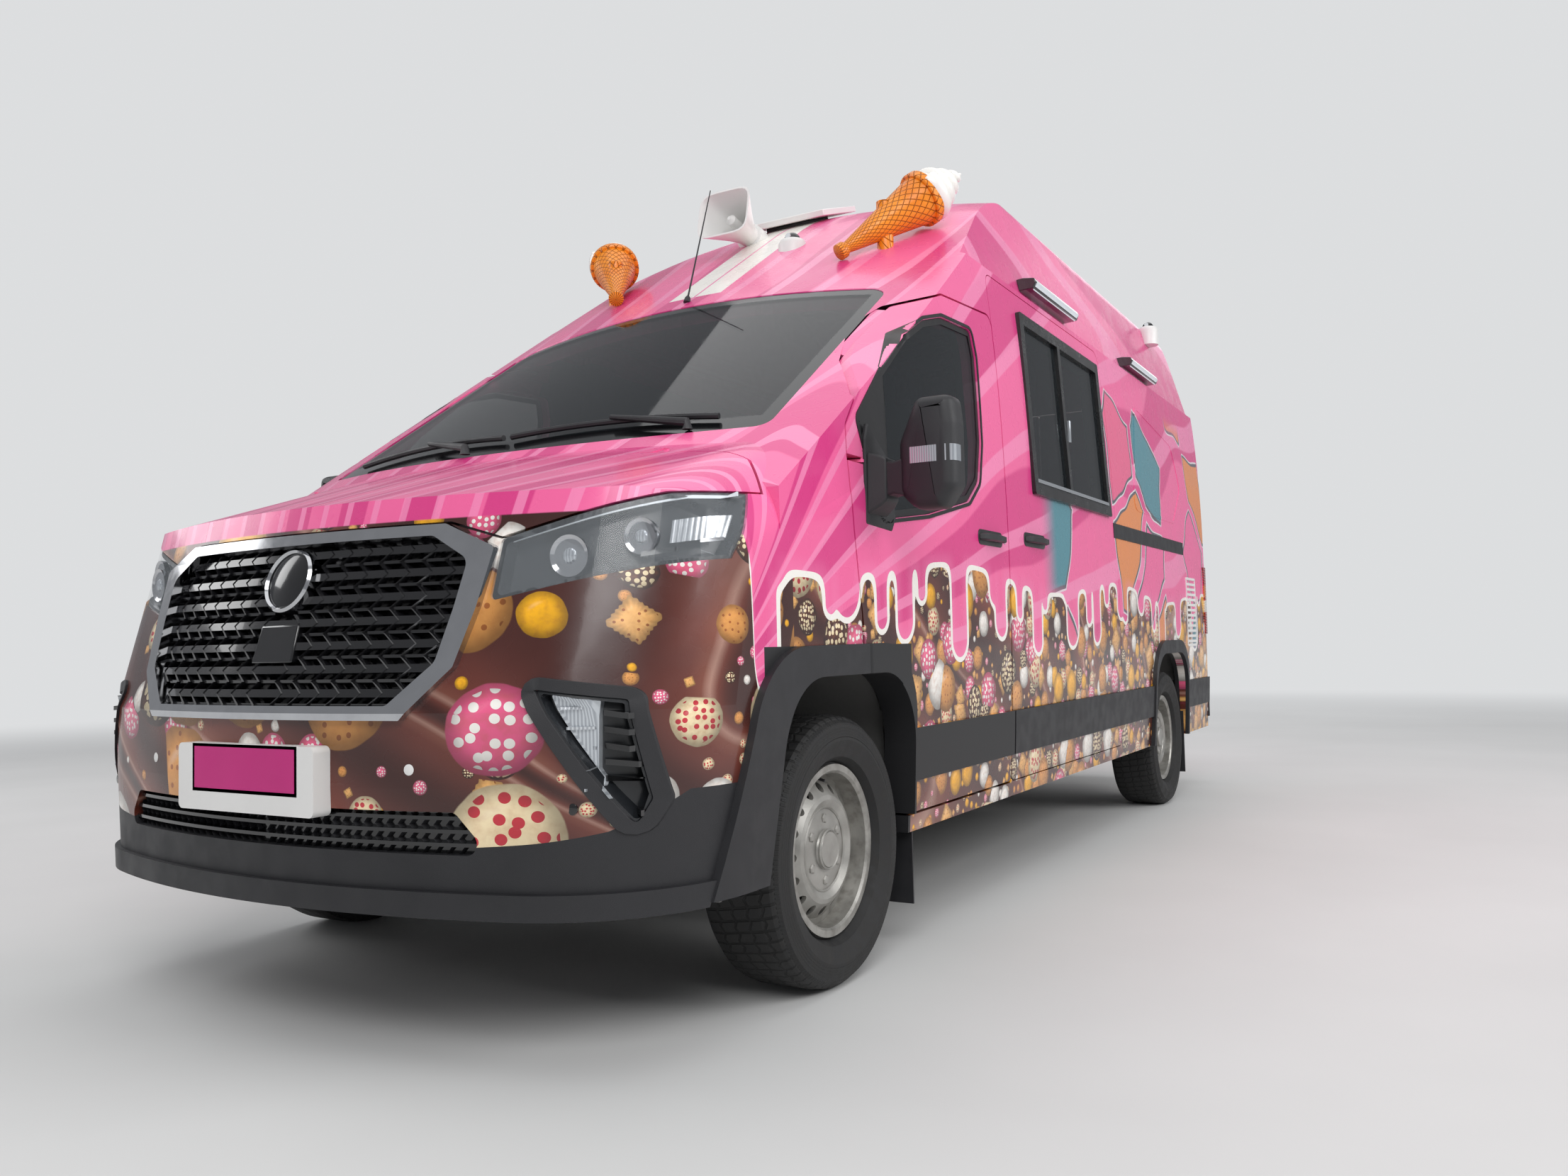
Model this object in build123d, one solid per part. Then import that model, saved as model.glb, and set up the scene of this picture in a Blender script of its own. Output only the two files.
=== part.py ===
from build123d import *
import os
from functools import cache
from math import atan2, cos, degrees, radians, sin, sqrt, tan

# Ice cream van in millimetres. While it is modelled, Y runs rearwards from the front axle,
# X runs to the vehicle's left and Z runs up from the ground.

# Driving dimensions
WHEELBASE = 3760.0
FRONT_REACH = 1045.0
REAR_REACH = 1165.0
ROOF_Z = 2800.0
SILL_Z = 340.0
NOSE_BOTTOM_Z = 330.0
ORIGIN_Y = (WHEELBASE + REAR_REACH - FRONT_REACH) / 2
SPAN = 1300.0

# Walls, gaps and layers
WALL = 58.0
NOSE_WALL = 36.0
COWL_WALL = 12.0
DOOR_WALL = 80.0
FRAME_CLEAR = 13.0
FRAME_WALL = 20.0
FRAME_LIP = 30.0
FRAME_LIP_Y = 150.0
DOOR_GAP = 7.0
PANEL_GAP = 4.0
HOOD_GAP = 6.0
FIT = 0.3
TRIM_PROUD = 12.0
FLARE_PROUD = 20.0
FLARE_SWING_R = 33.0
SWING_CLEAR = 5.0
LIP_PROUD = 14.0
CHROME_PROUD = 16.0

# Body section: half widths at three heights of each side arc, then the gutter and the roof side
SIDE_LOW = ((990.0, 340.0), (1010.0, 860.0), (1003.0, 1475.0))
SIDE_HIGH = ((1003.0, 1475.0), (983.0, 1857.0), (945.0, 2240.0))
GUTTER = (920.0, 2252.0)
ROOF_HALF = 786.0
ROOF_CORNER_R = 95.0
SECTION_FLOOR = 200.0

# Windscreen and roof front
SCREEN_SLOPE = 33.6
SCREEN_BASE_Y = -330.0
SCREEN_BASE_Z = 1420.0
SCREEN_CORNERS = ((844.0, -105.0), (800.0, 775.0))
SCREEN_MIDDLE = (-290.0, 705.0)
SCREEN_CORNER_R = 60.0
CROSS_R = 4200.0
ROOF_BEND_R = 1400.0

# Nose
BOW_R = 2400.0
HOOD_SLOPE = 17.85
HOOD_CROWN_R = 7000.0
NOSE_HALF = 1011.0
SHOULDER_R = 220.0
# Columns: height, front y, half width, corner radius
NOSE_ROWS = (
    (NOSE_BOTTOM_Z, -1004.0, 990.0, 430.0),
    (600.0, -1012.0, 1006.0, 430.0),
    (760.0, -1012.0, 1014.0, 430.0),
    (1133.0, -901.0, 1014.0, 400.0),
    (1560.0, -784.0, 1014.0, 380.0),
)
FRONT_LIMIT = -1300.0

# Tail
TAIL_Y = 4880.0
TAIL_CORNER_R = 150.0
TAIL_LEAN = 45.0
TAIL_BEND_R = 300.0

# Panel lines of the nose, seen from the front as (x, z, corner radius) or from the side as (y, z)
HOOD_REAR_Y = (-395.0, -307.0)
HOOD_CORNER_X = 905.0
HOOD_CORNER_SLOPE = 0.84
LAMP_INNER_X = 590.0
LAMP_OUTER_X = 1060.0
LAMP_TOP_Z = 1135.0
LAMP_LOW_Z = 997.0
LAMP_SLOPE_TOP = 0.286
LAMP_SLOPE_LOW = 0.216
LAMP_BACK = ((-537.0, 1075.0), (-402.0, 1262.0))
LENS_DEPTH = 6.0
GRILLE_OUTER = ((455.0, 1176.0, 12.0), (588.0, 1118.0, 12.0), (574.0, 985.0, 30.0), (548.0, 857.0, 12.0), (440.0, 745.0, 6.0))
GRILLE_INNER = ((428.0, 1150.0, 30.0), (530.0, 1092.0, 30.0), (520.0, 985.0, 60.0), (502.0, 868.0, 30.0), (402.0, 776.0, 20.0))
GRILLE_DEPTH = 48.0
GRILLE_BARS = 7
INTAKE = ((560.0, 552.0, 25.0), (640.0, 462.0, 25.0))
FOG_CORNERS = ((728.0, 810.0), (900.0, 785.0), (930.0, 574.0), (905.0, 515.0))
PLINTH = (240.0, 535.0, 689.0)
BUMPER_LINE = ((-537.0, 1075.0), (-576.0, 1033.0), (-487.0, 923.0), (-389.0, 857.0))
SKIRT_LINE = ((-1200.0, 470.0), (-960.0, 472.0), (-811.0, 511.0), (-665.0, 588.0), (0.0, 588.0))
LIP_TOP_Z = 385.0

# Doors, windows and seams of the side, as (y, z, corner radius)
DOOR_FRONT_Y = 100.0
DOOR_REAR_Y = 1262.0
DOOR_SILL_Z = 395.0
DOOR_INNER_X = 860.0
FRONT_DOOR = (
    (DOOR_FRONT_Y, DOOR_SILL_Z, 0), (DOOR_FRONT_Y, 935.0, 30.0), (58.0, 1190.0, 60.0), (34.0, 1400.0, 30.0),
    (34.0, 1470.0, 25.0), (105.0, 1560.0, 40.0), (272.0, 1703.0, 80.0), (485.0, 1863.0, 100.0),
    (640.0, 1956.0, 100.0), (800.0, 2014.0, 80.0), (DOOR_REAR_Y, 2050.0, 40.0), (DOOR_REAR_Y, DOOR_SILL_Z, 20.0),
)
DOOR_WINDOW = (
    (225.0, 1232.0, 40.0), (104.0, 1500.0, 20.0), (275.0, 1664.0, 60.0), (470.0, 1812.0, 80.0),
    (620.0, 1890.0, 60.0), (780.0, 1936.0, 60.0), (1040.0, 1950.0, 30.0), (1062.0, 1860.0, 50.0),
    (1046.0, 1560.0, 80.0), (1005.0, 1420.0, 60.0), (900.0, 1345.0, 60.0), (560.0, 1275.0, 150.0),
)
SLIDING_DOOR = (
    (1270.0, DOOR_SILL_Z, 20.0), (1270.0, 2214.0, 40.0), (2720.0, 2214.0, 60.0), (2765.0, DOOR_SILL_Z, 30.0),
)
FENDER_EDGE = (
    (-1300.0, 200, 0), (-1300.0, 1640, 0), (-290.0, 1640, 0), (-290.0, 1425, 0), (-115.0, 1440, 0),
    (34.0 - DOOR_GAP, 1400, 0), (58.0 - DOOR_GAP, 1190, 60.0), (DOOR_FRONT_Y - DOOR_GAP, 935, 30.0),
    (DOOR_FRONT_Y - DOOR_GAP, 200, 0),
)
ROOF_JOINT = ((650.0, 2122.0, 0), (1364.0, 2250.0, 0), (5000.0, 2250.0, 0), (5000.0, 3000.0, 0), (650.0, 3000.0, 0))
STRIP_Z = (487.0, 640.0)
RAIL_Y = (2700.0, 4178.0)
RAIL_Z = (1347.0, 1415.0)
B_POST_Y = (1215.0, 1330.0)
B_POST_INSET = 140.0

# Serving window: a leaning frame in the sliding door
SERVING_Y = (1562.0, 2640.0)
SERVING_Z = (1436.0, 2140.0)
SERVING_X = 1006.0
SERVING_LEAN = 47.0
SERVING_DEPTH = 64.0
SERVING_PROUD = 14.0
SERVING_RAIL = 45.0
MULLION_Y = 2040.0

# Arches as (y from the axle, z, corner radius)
ARCH_Z = 808.0
FRONT_ARCH = ((-430.0, 250.0, 0), (-330.0, ARCH_Z, 200.0), (392.0, ARCH_Z, 210.0), (392.0, 250.0, 0))
FRONT_FLARE = ((-650.0, 250.0, 0), (-430.0, 884.0, 260.0), (400.0, 890.0, 210.0), (404.0, 250.0, 0))
FRONT_LINER = ((-450.0, 200.0, 0), (-440.0, ARCH_Z, 200.0), (430.0, ARCH_Z, 200.0), (440.0, 200.0, 0))
FRONT_ARCH_INNER_X = 545.0
REAR_ARCH = ((-392.0, 250.0, 0), (-372.0, 800.0, 210.0), (372.0, 800.0, 210.0), (392.0, 250.0, 0))
REAR_FLARE = ((-424.0, 250.0, 0), (-384.0, 868.0, 230.0), (384.0, 868.0, 230.0), (424.0, 250.0, 0))
REAR_BOX = ((-430.0, 200.0, 0), (-430.0, 830.0, 200.0), (430.0, 830.0, 200.0), (430.0, 200.0, 0))
REAR_BOX_X = 725.0
LINER_WALL = 12.0

# Rear doors, rear bumper and tail lamps
REAR_DOOR_HALF = 856.0
REAR_DOOR_SEAM = 6.0
REAR_DOOR_Z = (556.0, 2350.0)
REAR_BUMPER_Z = (400.0, 545.0)
TAIL_LAMP_Z = (900.0, 1300.0)

# Hinges: door axis (x, y), rear door axis (x, y), hood axis (y, z)
DOOR_HINGE = (1002.0, 125.0)
DOOR_HINGE_Z = (850.0, 1385.0)
HINGE_R = 9.0
HINGE_THICK = 8.0
HINGE_CLEAR = 5.0
HINGE_PIN_R = 4.0
HINGE_PIN_LENGTH = 26.0
PILLAR_X = (828.0, 868.0)
PILLAR_Y = (-60.0, 100.0)
REAR_HINGE = (884.0, TAIL_Y + 16.0)
REAR_HINGE_Z = (800.0, 1850.0)
REAR_PIN_R = 6.0
HOOD_HINGE = (-300.0, 1375.0)
HOOD_HINGE_X = 650.0
HOOD_PIN_R = 5.0

# Mirror
MIRROR_Y = (145.0, 235.0)
MIRROR_BASE = ((66.0, 1215.0, 10.0), (56.0, 1330.0, 10.0), (60.0, 1420.0, 10.0), (130.0, 1500.0, 10.0), (290.0, 1400.0, 10.0), (321.0, 1240.0, 10.0), (290.0, 1200.0, 10.0))
MIRROR_ARM_Z = (1282.0, 1388.0)
MIRROR_HEAD_X = (1094.0, 1263.0)
MIRROR_HEAD_Z = (1244.0, 1551.0)

# Wheels and running gear
TRACK_HALF = 872.0
AXLE_Z = 352.0
KINGPIN_X = 790.0
KINGPIN_R = 12.0
STUB_R = 28.0
STUB_END_X = 920.0
DISC_X = (822.0, 834.0)
STRUT_X = 690.0
ARM_Z = (222.0, 247.0)
LINK_Z = (452.0, 478.0)
RAIL_X = (430.0, 510.0)
RAIL_HEIGHT = (510.0, 640.0)
GEARBOX_Z = (440.0, 630.0)
GEARBOX_END_Y = 650.0
SHAFT_Z = 540.0
SPRING_HALF = 700.0
# Columns: distance from the wheel's middle, radius
TYRE_PROFILE = (
    (-71, 207), (-71, 226), (-100, 242), (-117, 285), (-110, 330), (-92, 346), (-60, 352),
    (60, 352), (92, 346), (110, 330), (117, 285), (100, 242), (71, 226), (71, 207),
    (52, 207), (55, 235), (96, 270), (94, 322), (70, 338), (-70, 338), (-94, 322), (-96, 270), (-55, 235), (-52, 207),
)
# Columns: x, radius
RIM_PROFILE = (
    (945, 0), (945, 45), (932, 52), (926, 105), (938, 128), (934, 140), (902, 180), (899, 199), (949, 199),
    (955, 205), (955, 222), (948, 222), (944, 207), (800, 207), (796, 222), (789, 222), (789, 205), (794, 199),
    (888, 199), (892, 176), (922, 138), (925, 128), (915, 105), (915, 62), (842, 62), (842, STUB_R + FIT),
    (925, STUB_R + FIT), (925, 0),
)
RIM_HOLES = 16
RIM_HOLE_RING = 160.0
RIM_HOLE_R = 13.0

# Inside
FLOOR_Z = (640.0, 690.0)
FLOOR_EDGE_X = 905.0
FIREWALL_Y = -100.0
DASH_Y = (-285.0, 330.0)
DASH_Z = (1240.0, 1295.0)
DRIVER_X = -450.0
SEAT_X = 450.0
STEERING_CENTRE = (520.0, 1180.0)
STEERING_TILT = 28.0

# Roof pieces
CONE_TIP = (512.0, 992.0, 2300.0)
CONE_AXIS = (286.0, 355.0, 315.0)
CONE_LENGTH = 420.0
CONE_TIP_R = 16.0
CONE_R = 98.0
# Columns: height above the cone's mouth, radius, thickness
SWIRL_ROWS = ((0.0, 106.0, 60.0), (54.0, 92.0, 56.0), (104.0, 68.0, 50.0), (148.0, 42.0, 46.0))
LED_BARS = ((1751.0, 2342.0, 2299.0), (3266.0, 3824.0, 2285.0))
HORN = (-112.0, 1279.0, 2457.0)
FLAT_PANEL = (32.0, 1440.0, 2588.0)
CAMERAS = ((181.0, 1221.0, 2450.0), (830.0, 4303.0, 2690.0))

SIDE = Plane(origin=(0, 0, 0), x_dir=(0, 1, 0), z_dir=(1, 0, 0))
FRONTAL = Plane(origin=(0, 0, 0), x_dir=(1, 0, 0), z_dir=(0, -1, 0))


def outline(corners):
    """Face from (a, b, radius) corners."""
    points = [(a, b) for a, b, _ in corners]
    return make_face(FilletPolyline(*points, radius=[r for _, _, r in corners], close=True))


def moved(corners, da=0.0, db=0.0):
    return [(a + da, b + db, r) for a, b, r in corners]


def doubled(corners):
    """Corners on the +X side, walked back on the -X side."""
    return list(corners) + [(-a, b, r) for a, b, r in reversed(corners)]


def across(face, low=-SPAN, high=SPAN):
    return extrude(SIDE.offset(low) * face, amount=high - low)


def along(face, low, high):
    return extrude(FRONTAL.offset(-high) * face, amount=high - low)


def upward(face, low, high):
    return extrude(Plane.XY.offset(low) * face, amount=high - low)


def slab(xs, ys, zs):
    size = (xs[1] - xs[0], ys[1] - ys[0], zs[1] - zs[0])
    return Pos(sum(xs) / 2, sum(ys) / 2, sum(zs) / 2) * Box(*size)


def rod(start, end, radius):
    start, end = Vector(*start), Vector(*end)
    plane = Plane(origin=start, z_dir=end - start)
    return extrude(plane * Circle(radius), amount=(end - start).length)


def grown(face, amount):
    return offset(face, amount=amount, kind=Kind.ARC)


def fall(radius, x):
    """How far an arc has dropped at x from its crown."""
    return radius - sqrt(radius * radius - x * x)


def both(solid):
    return [solid, mirror(solid, about=Plane.YZ)]


def fused(pieces):
    total = pieces[0]
    for piece in pieces[1:]:
        total = total + piece
    return total


# The body is one closed form. Every panel is a part of it, and every inner face is the same
# form set in by a wall's thickness.


def crowned(half, radius, depth):
    """Face under an arc: its crown is at the local origin."""
    drop = fall(radius, half)
    return make_face([
        ThreePointArc((-half, -drop), (0, 0), (half, -drop)),
        Line((half, -drop), (half, -depth)),
        Line((half, -depth), (-half, -depth)),
        Line((-half, -depth), (-half, -drop)),
    ])


def body_section(inset):
    low = [(x - inset, z) for x, z in SIDE_LOW]
    high = [(x - inset, z) for x, z in SIDE_HIGH]
    floor = SILL_Z if inset == 0 else SECTION_FLOOR
    gutter = (GUTTER[0] - inset, GUTTER[1])
    top = ROOF_Z - inset
    shoulder = (ROOF_HALF - inset, top - fall(CROSS_R - inset, ROOF_HALF - inset))
    right = [ThreePointArc(*low), ThreePointArc(*high), Line(high[2], gutter), Line(gutter, shoulder)]
    if floor < SILL_Z:
        right.append(Line((low[0][0], floor), low[0]))
    left = [mirror(edge, about=Plane.YZ) for edge in right]
    crown = ThreePointArc((-shoulder[0], shoulder[1]), (0, top), shoulder)
    base = Line((-low[0][0], floor), (low[0][0], floor))
    face = make_face(right + left + [crown, base])
    return fillet(face.vertices().sort_by(Axis.Y)[-2:], ROOF_CORNER_R - inset / 2)


def sloped_plane(y, z, slope):
    """Plane across a slope: its local Y is the slope's upward normal, its normal runs downhill."""
    a = radians(slope)
    return Plane(origin=(0, y, z), x_dir=(1, 0, 0), z_dir=(0, -cos(a), -sin(a)))


def screen_cutters(inset):
    """All that lies in front of the windscreen and roof front: a straight run, then a bend."""
    a = radians(SCREEN_SLOPE)
    centre_z = ROOF_Z - ROOF_BEND_R
    tangent_z = centre_z + ROOF_BEND_R * cos(a)
    tangent_y = SCREEN_BASE_Y + (tangent_z - SCREEN_BASE_Z) / tan(a)
    centre_y = tangent_y + ROOF_BEND_R * sin(a)
    bend = ROOF_BEND_R - inset
    plane = sloped_plane(centre_y - bend * sin(a), centre_z + bend * cos(a), SCREEN_SLOPE)
    height = 1700.0
    cross_r = CROSS_R - inset
    drop = fall(cross_r, SPAN)
    face = plane * make_face([
        ThreePointArc((-SPAN, -drop), (0, 0), (SPAN, -drop)),
        Line((SPAN, -drop), (SPAN, height)),
        Line((SPAN, height), (-SPAN, height)),
        Line((-SPAN, height), (-SPAN, -drop)),
    ])
    straight = extrude(face, amount=3600)
    turned = revolve(face, axis=Axis((0, centre_y, centre_z), (-1, 0, 0)), revolution_arc=SCREEN_SLOPE)
    return straight, turned


@cache
def cabin(inset):
    tail = TAIL_Y - inset
    body = along(body_section(inset), SCREEN_BASE_Y - 5 + inset, tail)
    for cutter in screen_cutters(inset):
        body = body - cutter
    half = SIDE_LOW[1][0] + 1 - inset
    corner = TAIL_CORNER_R - inset
    plan = outline(((-half, -500, 0), (half, -500, 0), (half, tail, corner), (-half, tail, corner)))
    lid = ROOF_Z + 30 - inset
    rear = outline(((-500, 100, 0), (tail + 1, 100, 0), (tail - TAIL_LEAN, lid, TAIL_BEND_R - inset), (-500, lid, 0)))
    return body & upward(plan, 100, ROOF_Z + 100) & across(rear)


@cache
def nose(inset):
    faces = []
    for z, front, half, corner in NOSE_ROWS:
        if inset > 0 and z == NOSE_BOTTOM_Z:
            z = SECTION_FLOOR
        front, half, bow = front + inset, half - inset, BOW_R - inset
        side = front + fall(bow, half)
        back = 300.0
        face = make_face([
            ThreePointArc((-half, side), (0, front), (half, side)),
            Line((half, side), (half, back)),
            Line((half, back), (-half, back)),
            Line((-half, back), (-half, side)),
        ])
        face = fillet(face.vertices().sort_by(Axis.Y)[:2], corner - inset)
        faces.append(Plane.XY.offset(z) * face)
    body = loft(Sketch() + faces, ruled=True)
    a = radians(HOOD_SLOPE)
    face = crowned(NOSE_HALF - inset, HOOD_CROWN_R - inset, 1900.0)
    face = fillet(face.vertices().sort_by(Axis.Y)[-2:], SHOULDER_R - inset)
    plane = sloped_plane(SCREEN_BASE_Y + inset * sin(a), SCREEN_BASE_Z - inset * cos(a), HOOD_SLOPE)
    return body & extrude(plane.offset(-900) * face, amount=2200)


@cache
def hull(inset):
    return cabin(inset) + nose(inset)


OUTER_CABIN = cabin(0)
OUTER_NOSE = nose(0)
OUTER = OUTER_CABIN + OUTER_NOSE
INNER_NOSE = nose(NOSE_WALL)
INNER = cabin(WALL) + INNER_NOSE
SHELL = OUTER - INNER
NOSE_SHELL = OUTER_NOSE - INNER_NOSE
INNER_DOOR = hull(DOOR_WALL)
FRAME_SEAT = hull(DOOR_WALL + FRAME_CLEAR)
FRAME_BACK = hull(DOOR_WALL + FRAME_CLEAR + FRAME_WALL)
TRIM_OUT = hull(-TRIM_PROUD)
FLARE_OUT = hull(-FLARE_PROUD)

# Regions that split the body into its panels
DOOR_FACE = outline(FRONT_DOOR)
WINDOW_FACE = outline(DOOR_WINDOW)
SLIDING_FACE = outline(SLIDING_DOOR)
FRONT_ARCH_FACE = outline(FRONT_ARCH)
FRONT_FLARE_FACE = outline(FRONT_FLARE)
REAR_ARCH_FACE = outline(moved(REAR_ARCH, WHEELBASE))
REAR_FLARE_FACE = outline(moved(REAR_FLARE, WHEELBASE))
FRONT_ARCH_CUT = across(FRONT_ARCH_FACE)
REAR_ARCH_CUT = across(REAR_ARCH_FACE)


def hood_region(gap):
    """What the hood covers, seen from above and from the front, less a gap."""
    centre, side = (y - gap for y in HOOD_REAR_Y)
    wide = HOOD_CORNER_X - gap
    far = 1100.0
    turn = side - (far - wide) * HOOD_CORNER_SLOPE
    plan = make_face([
        ThreePointArc((-wide, side), (0, centre), (wide, side)),
        Line((wide, side), (far, turn)),
        Line((far, turn), (far, FRONT_LIMIT)),
        Line((far, FRONT_LIMIT), (-far, FRONT_LIMIT)),
        Line((-far, FRONT_LIMIT), (-far, turn)),
        Line((-far, turn), (-wide, side)),
    ])
    low = LAMP_TOP_Z + HOOD_GAP + gap
    high = low + LAMP_SLOPE_TOP * (far - LAMP_INNER_X)
    notch = GRILLE_OUTER[0][1] + HOOD_GAP + gap
    front = outline(doubled((
        (GRILLE_OUTER[0][0], notch, 0), (LAMP_INNER_X, low, 0), (far, high, 0), (far, 1700.0, 0),
    )))
    return upward(plan, 900, 1700) & along(front, FRONT_LIMIT, 100)


def lamp_region(gap):
    inner, wide = LAMP_INNER_X + gap, LAMP_OUTER_X - LAMP_INNER_X
    top, low = LAMP_TOP_Z - gap, LAMP_LOW_Z + gap
    front = outline((
        (inner, low, 12.0), (inner, top, 12.0), (LAMP_OUTER_X, top + LAMP_SLOPE_TOP * wide, 0),
        (LAMP_OUTER_X, low + LAMP_SLOPE_LOW * wide, 0),
    ))
    (low_y, low_z), (high_y, high_z) = LAMP_BACK
    side = outline((
        (FRONT_LIMIT, 900, 0), (low_y - gap, 900, 0), (low_y - gap, low_z, 40.0), (high_y - gap, high_z, 0),
        (FRONT_LIMIT, high_z, 0),
    ))
    return along(front, FRONT_LIMIT, 0) & across(side, 300, SPAN)


def fog_region(gap):
    (x0, z0), (x1, z1), (x2, z2), (x3, z3) = FOG_CORNERS
    face = outline(((x0 + gap, z0 - gap, 6.0), (x1 - gap, z1 - gap, 6.0), (x2 - gap, z2 + gap, 6.0), (x3, z3 + gap, 6.0)))
    return along(face, FRONT_LIMIT, -500)


def layer(outer, inner, region):
    return (outer - inner) & region


HOOD_ZONE = hood_region(0)
HOOD_CLEAR = hood_region(-HOOD_GAP)
LAMP_CUT = fused(both(lamp_region(0)))
FOG_CUT = fused(both(fog_region(0)))
GRILLE_CUT = along(outline(doubled(GRILLE_OUTER)), FRONT_LIMIT, -600)
GRILLE_HOLE = along(outline(doubled(GRILLE_INNER)), FRONT_LIMIT, -600)
INTAKE_CUT = along(outline(doubled(INTAKE)), FRONT_LIMIT, -700)
BUMPER_REGION = across(outline(
    [(FRONT_LIMIT, 200, 0), (FRONT_LIMIT, 1250, 0), (-640, 1250, 0)]
    + [(y, z, 0) for y, z in BUMPER_LINE] + [(BUMPER_LINE[-1][0], 200, 0)]
))
SKIRT_REGION = across(outline([(FRONT_LIMIT, 200, 0)] + [(y, z, 0) for y, z in SKIRT_LINE] + [(0, 200, 0)]))
FENDER_REGION = across(outline(FENDER_EDGE))
ROOF_REGION = across(outline(ROOF_JOINT))


def screen_region():
    """Bowed outline of the windscreen from above."""
    (low_x, low_y), (top_x, top_y) = SCREEN_CORNERS
    low_mid, top_mid = SCREEN_MIDDLE
    face = make_face([
        ThreePointArc((-low_x, low_y), (0, low_mid), (low_x, low_y)),
        Line((low_x, low_y), (top_x, top_y)),
        ThreePointArc((top_x, top_y), (0, top_mid), (-top_x, top_y)),
        Line((-top_x, top_y), (-low_x, low_y)),
    ])
    return upward(fillet(face.vertices(), SCREEN_CORNER_R), 1200, 2400)


SCREEN_CUT = screen_region()


def door_frame():
    """Aperture of the left front door: an edge around it and a flange behind it."""
    ring = across(grown(DOOR_FACE, 40) - grown(DOOR_FACE, DOOR_GAP), DOOR_INNER_X, SPAN)
    ring = ring & slab((DOOR_INNER_X - 40, SPAN), (-200, DOOR_REAR_Y), (SILL_Z + 15, 2400))
    edge = layer(hull(NOSE_WALL + 2), FRAME_BACK, ring)
    lip = across(grown(DOOR_FACE, DOOR_GAP + 3) - grown(DOOR_FACE, -FRAME_LIP), DOOR_INNER_X, SPAN)
    lip = lip & slab((DOOR_INNER_X - 40, SPAN), (FRAME_LIP_Y, DOOR_REAR_Y + 5), (SILL_Z + 15, 2400))
    flange = layer(FRAME_SEAT, FRAME_BACK, lip)
    post = slab((DOOR_INNER_X - 40, SPAN), B_POST_Y, (SILL_Z + 15, 2150)) & (FRAME_SEAT - hull(B_POST_INSET))
    head = slab((DOOR_INNER_X - 40, SPAN), (B_POST_Y[0], DOOR_REAR_Y), (2060, 2150)) & (hull(WALL - 4) - hull(B_POST_INSET))
    foot = slab((DOOR_INNER_X - 40, SPAN), (B_POST_Y[0], B_POST_Y[1]), (SILL_Z, 386)) & (hull(WALL - 4) - hull(B_POST_INSET))
    return (edge + flange + post + head + foot) - FRONT_ARCH_CUT


def hinge_arm(z):
    """Fixed door hinge: a flat bar from the pillar to the axis, with a pin that stands up."""
    x, y = DOOR_HINGE
    root_x, root_y = PILLAR_X[1] - 10, PILLAR_Y[1] - 30
    length = sqrt((x - root_x) ** 2 + (y - root_y) ** 2)
    turn = degrees(atan2(y - root_y, x - root_x))
    bar = Pos(root_x, root_y, z) * Rot(0, 0, turn) * Pos(length / 2, 0, 0) * Box(length, 2 * HINGE_R - 4, HINGE_THICK)
    end = Pos(x, y, z) * Cylinder(HINGE_R - 2, HINGE_THICK)
    pin = Pos(x, y, z + HINGE_PIN_LENGTH / 2) * Cylinder(HINGE_PIN_R, HINGE_PIN_LENGTH)
    return bar + end + pin


def hinge_slot(z):
    """Room in the door for its fixed hinge over the whole swing, with the pin's bore."""
    x, y = DOOR_HINGE
    reach = HINGE_R + HINGE_CLEAR
    half = HINGE_THICK / 2 + HINGE_CLEAR
    slot = slab((x - 260, x + reach - 5), (y - 260, y + reach), (z - half, z + half))
    depth = HINGE_PIN_LENGTH + 2
    bore = Pos(x, y, z + depth / 2) * Cylinder(HINGE_PIN_R + FIT, depth)
    return slot + bore


def hood_hinge(x):
    """Bracket and pin under the cowl for one hood arm."""
    y, z = HOOD_HINGE
    cheek = slab((x + 14, x + 24), (y - 22, y + 70), (z - 30, z + 18))
    pin = rod((x - 8, y, z), (x + 16, y, z), HOOD_PIN_R)
    return cheek + pin


def hood_arm(x):
    y, z = HOOD_HINGE
    corners = ((y, z + 9), (y, z - 9), (y - 50, z - 55), (y - 130, z - 85), (y - 130, z - 30), (y - 60, z - 8))
    plate = across(make_face(Polyline(*corners, close=True)), x - 5, x + 5)
    boss = rod((x - 5, y, z), (x + 5, y, z), 9)
    return plate + boss - rod((x - 20, y, z), (x + 20, y, z), HOOD_PIN_R + FIT)


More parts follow.
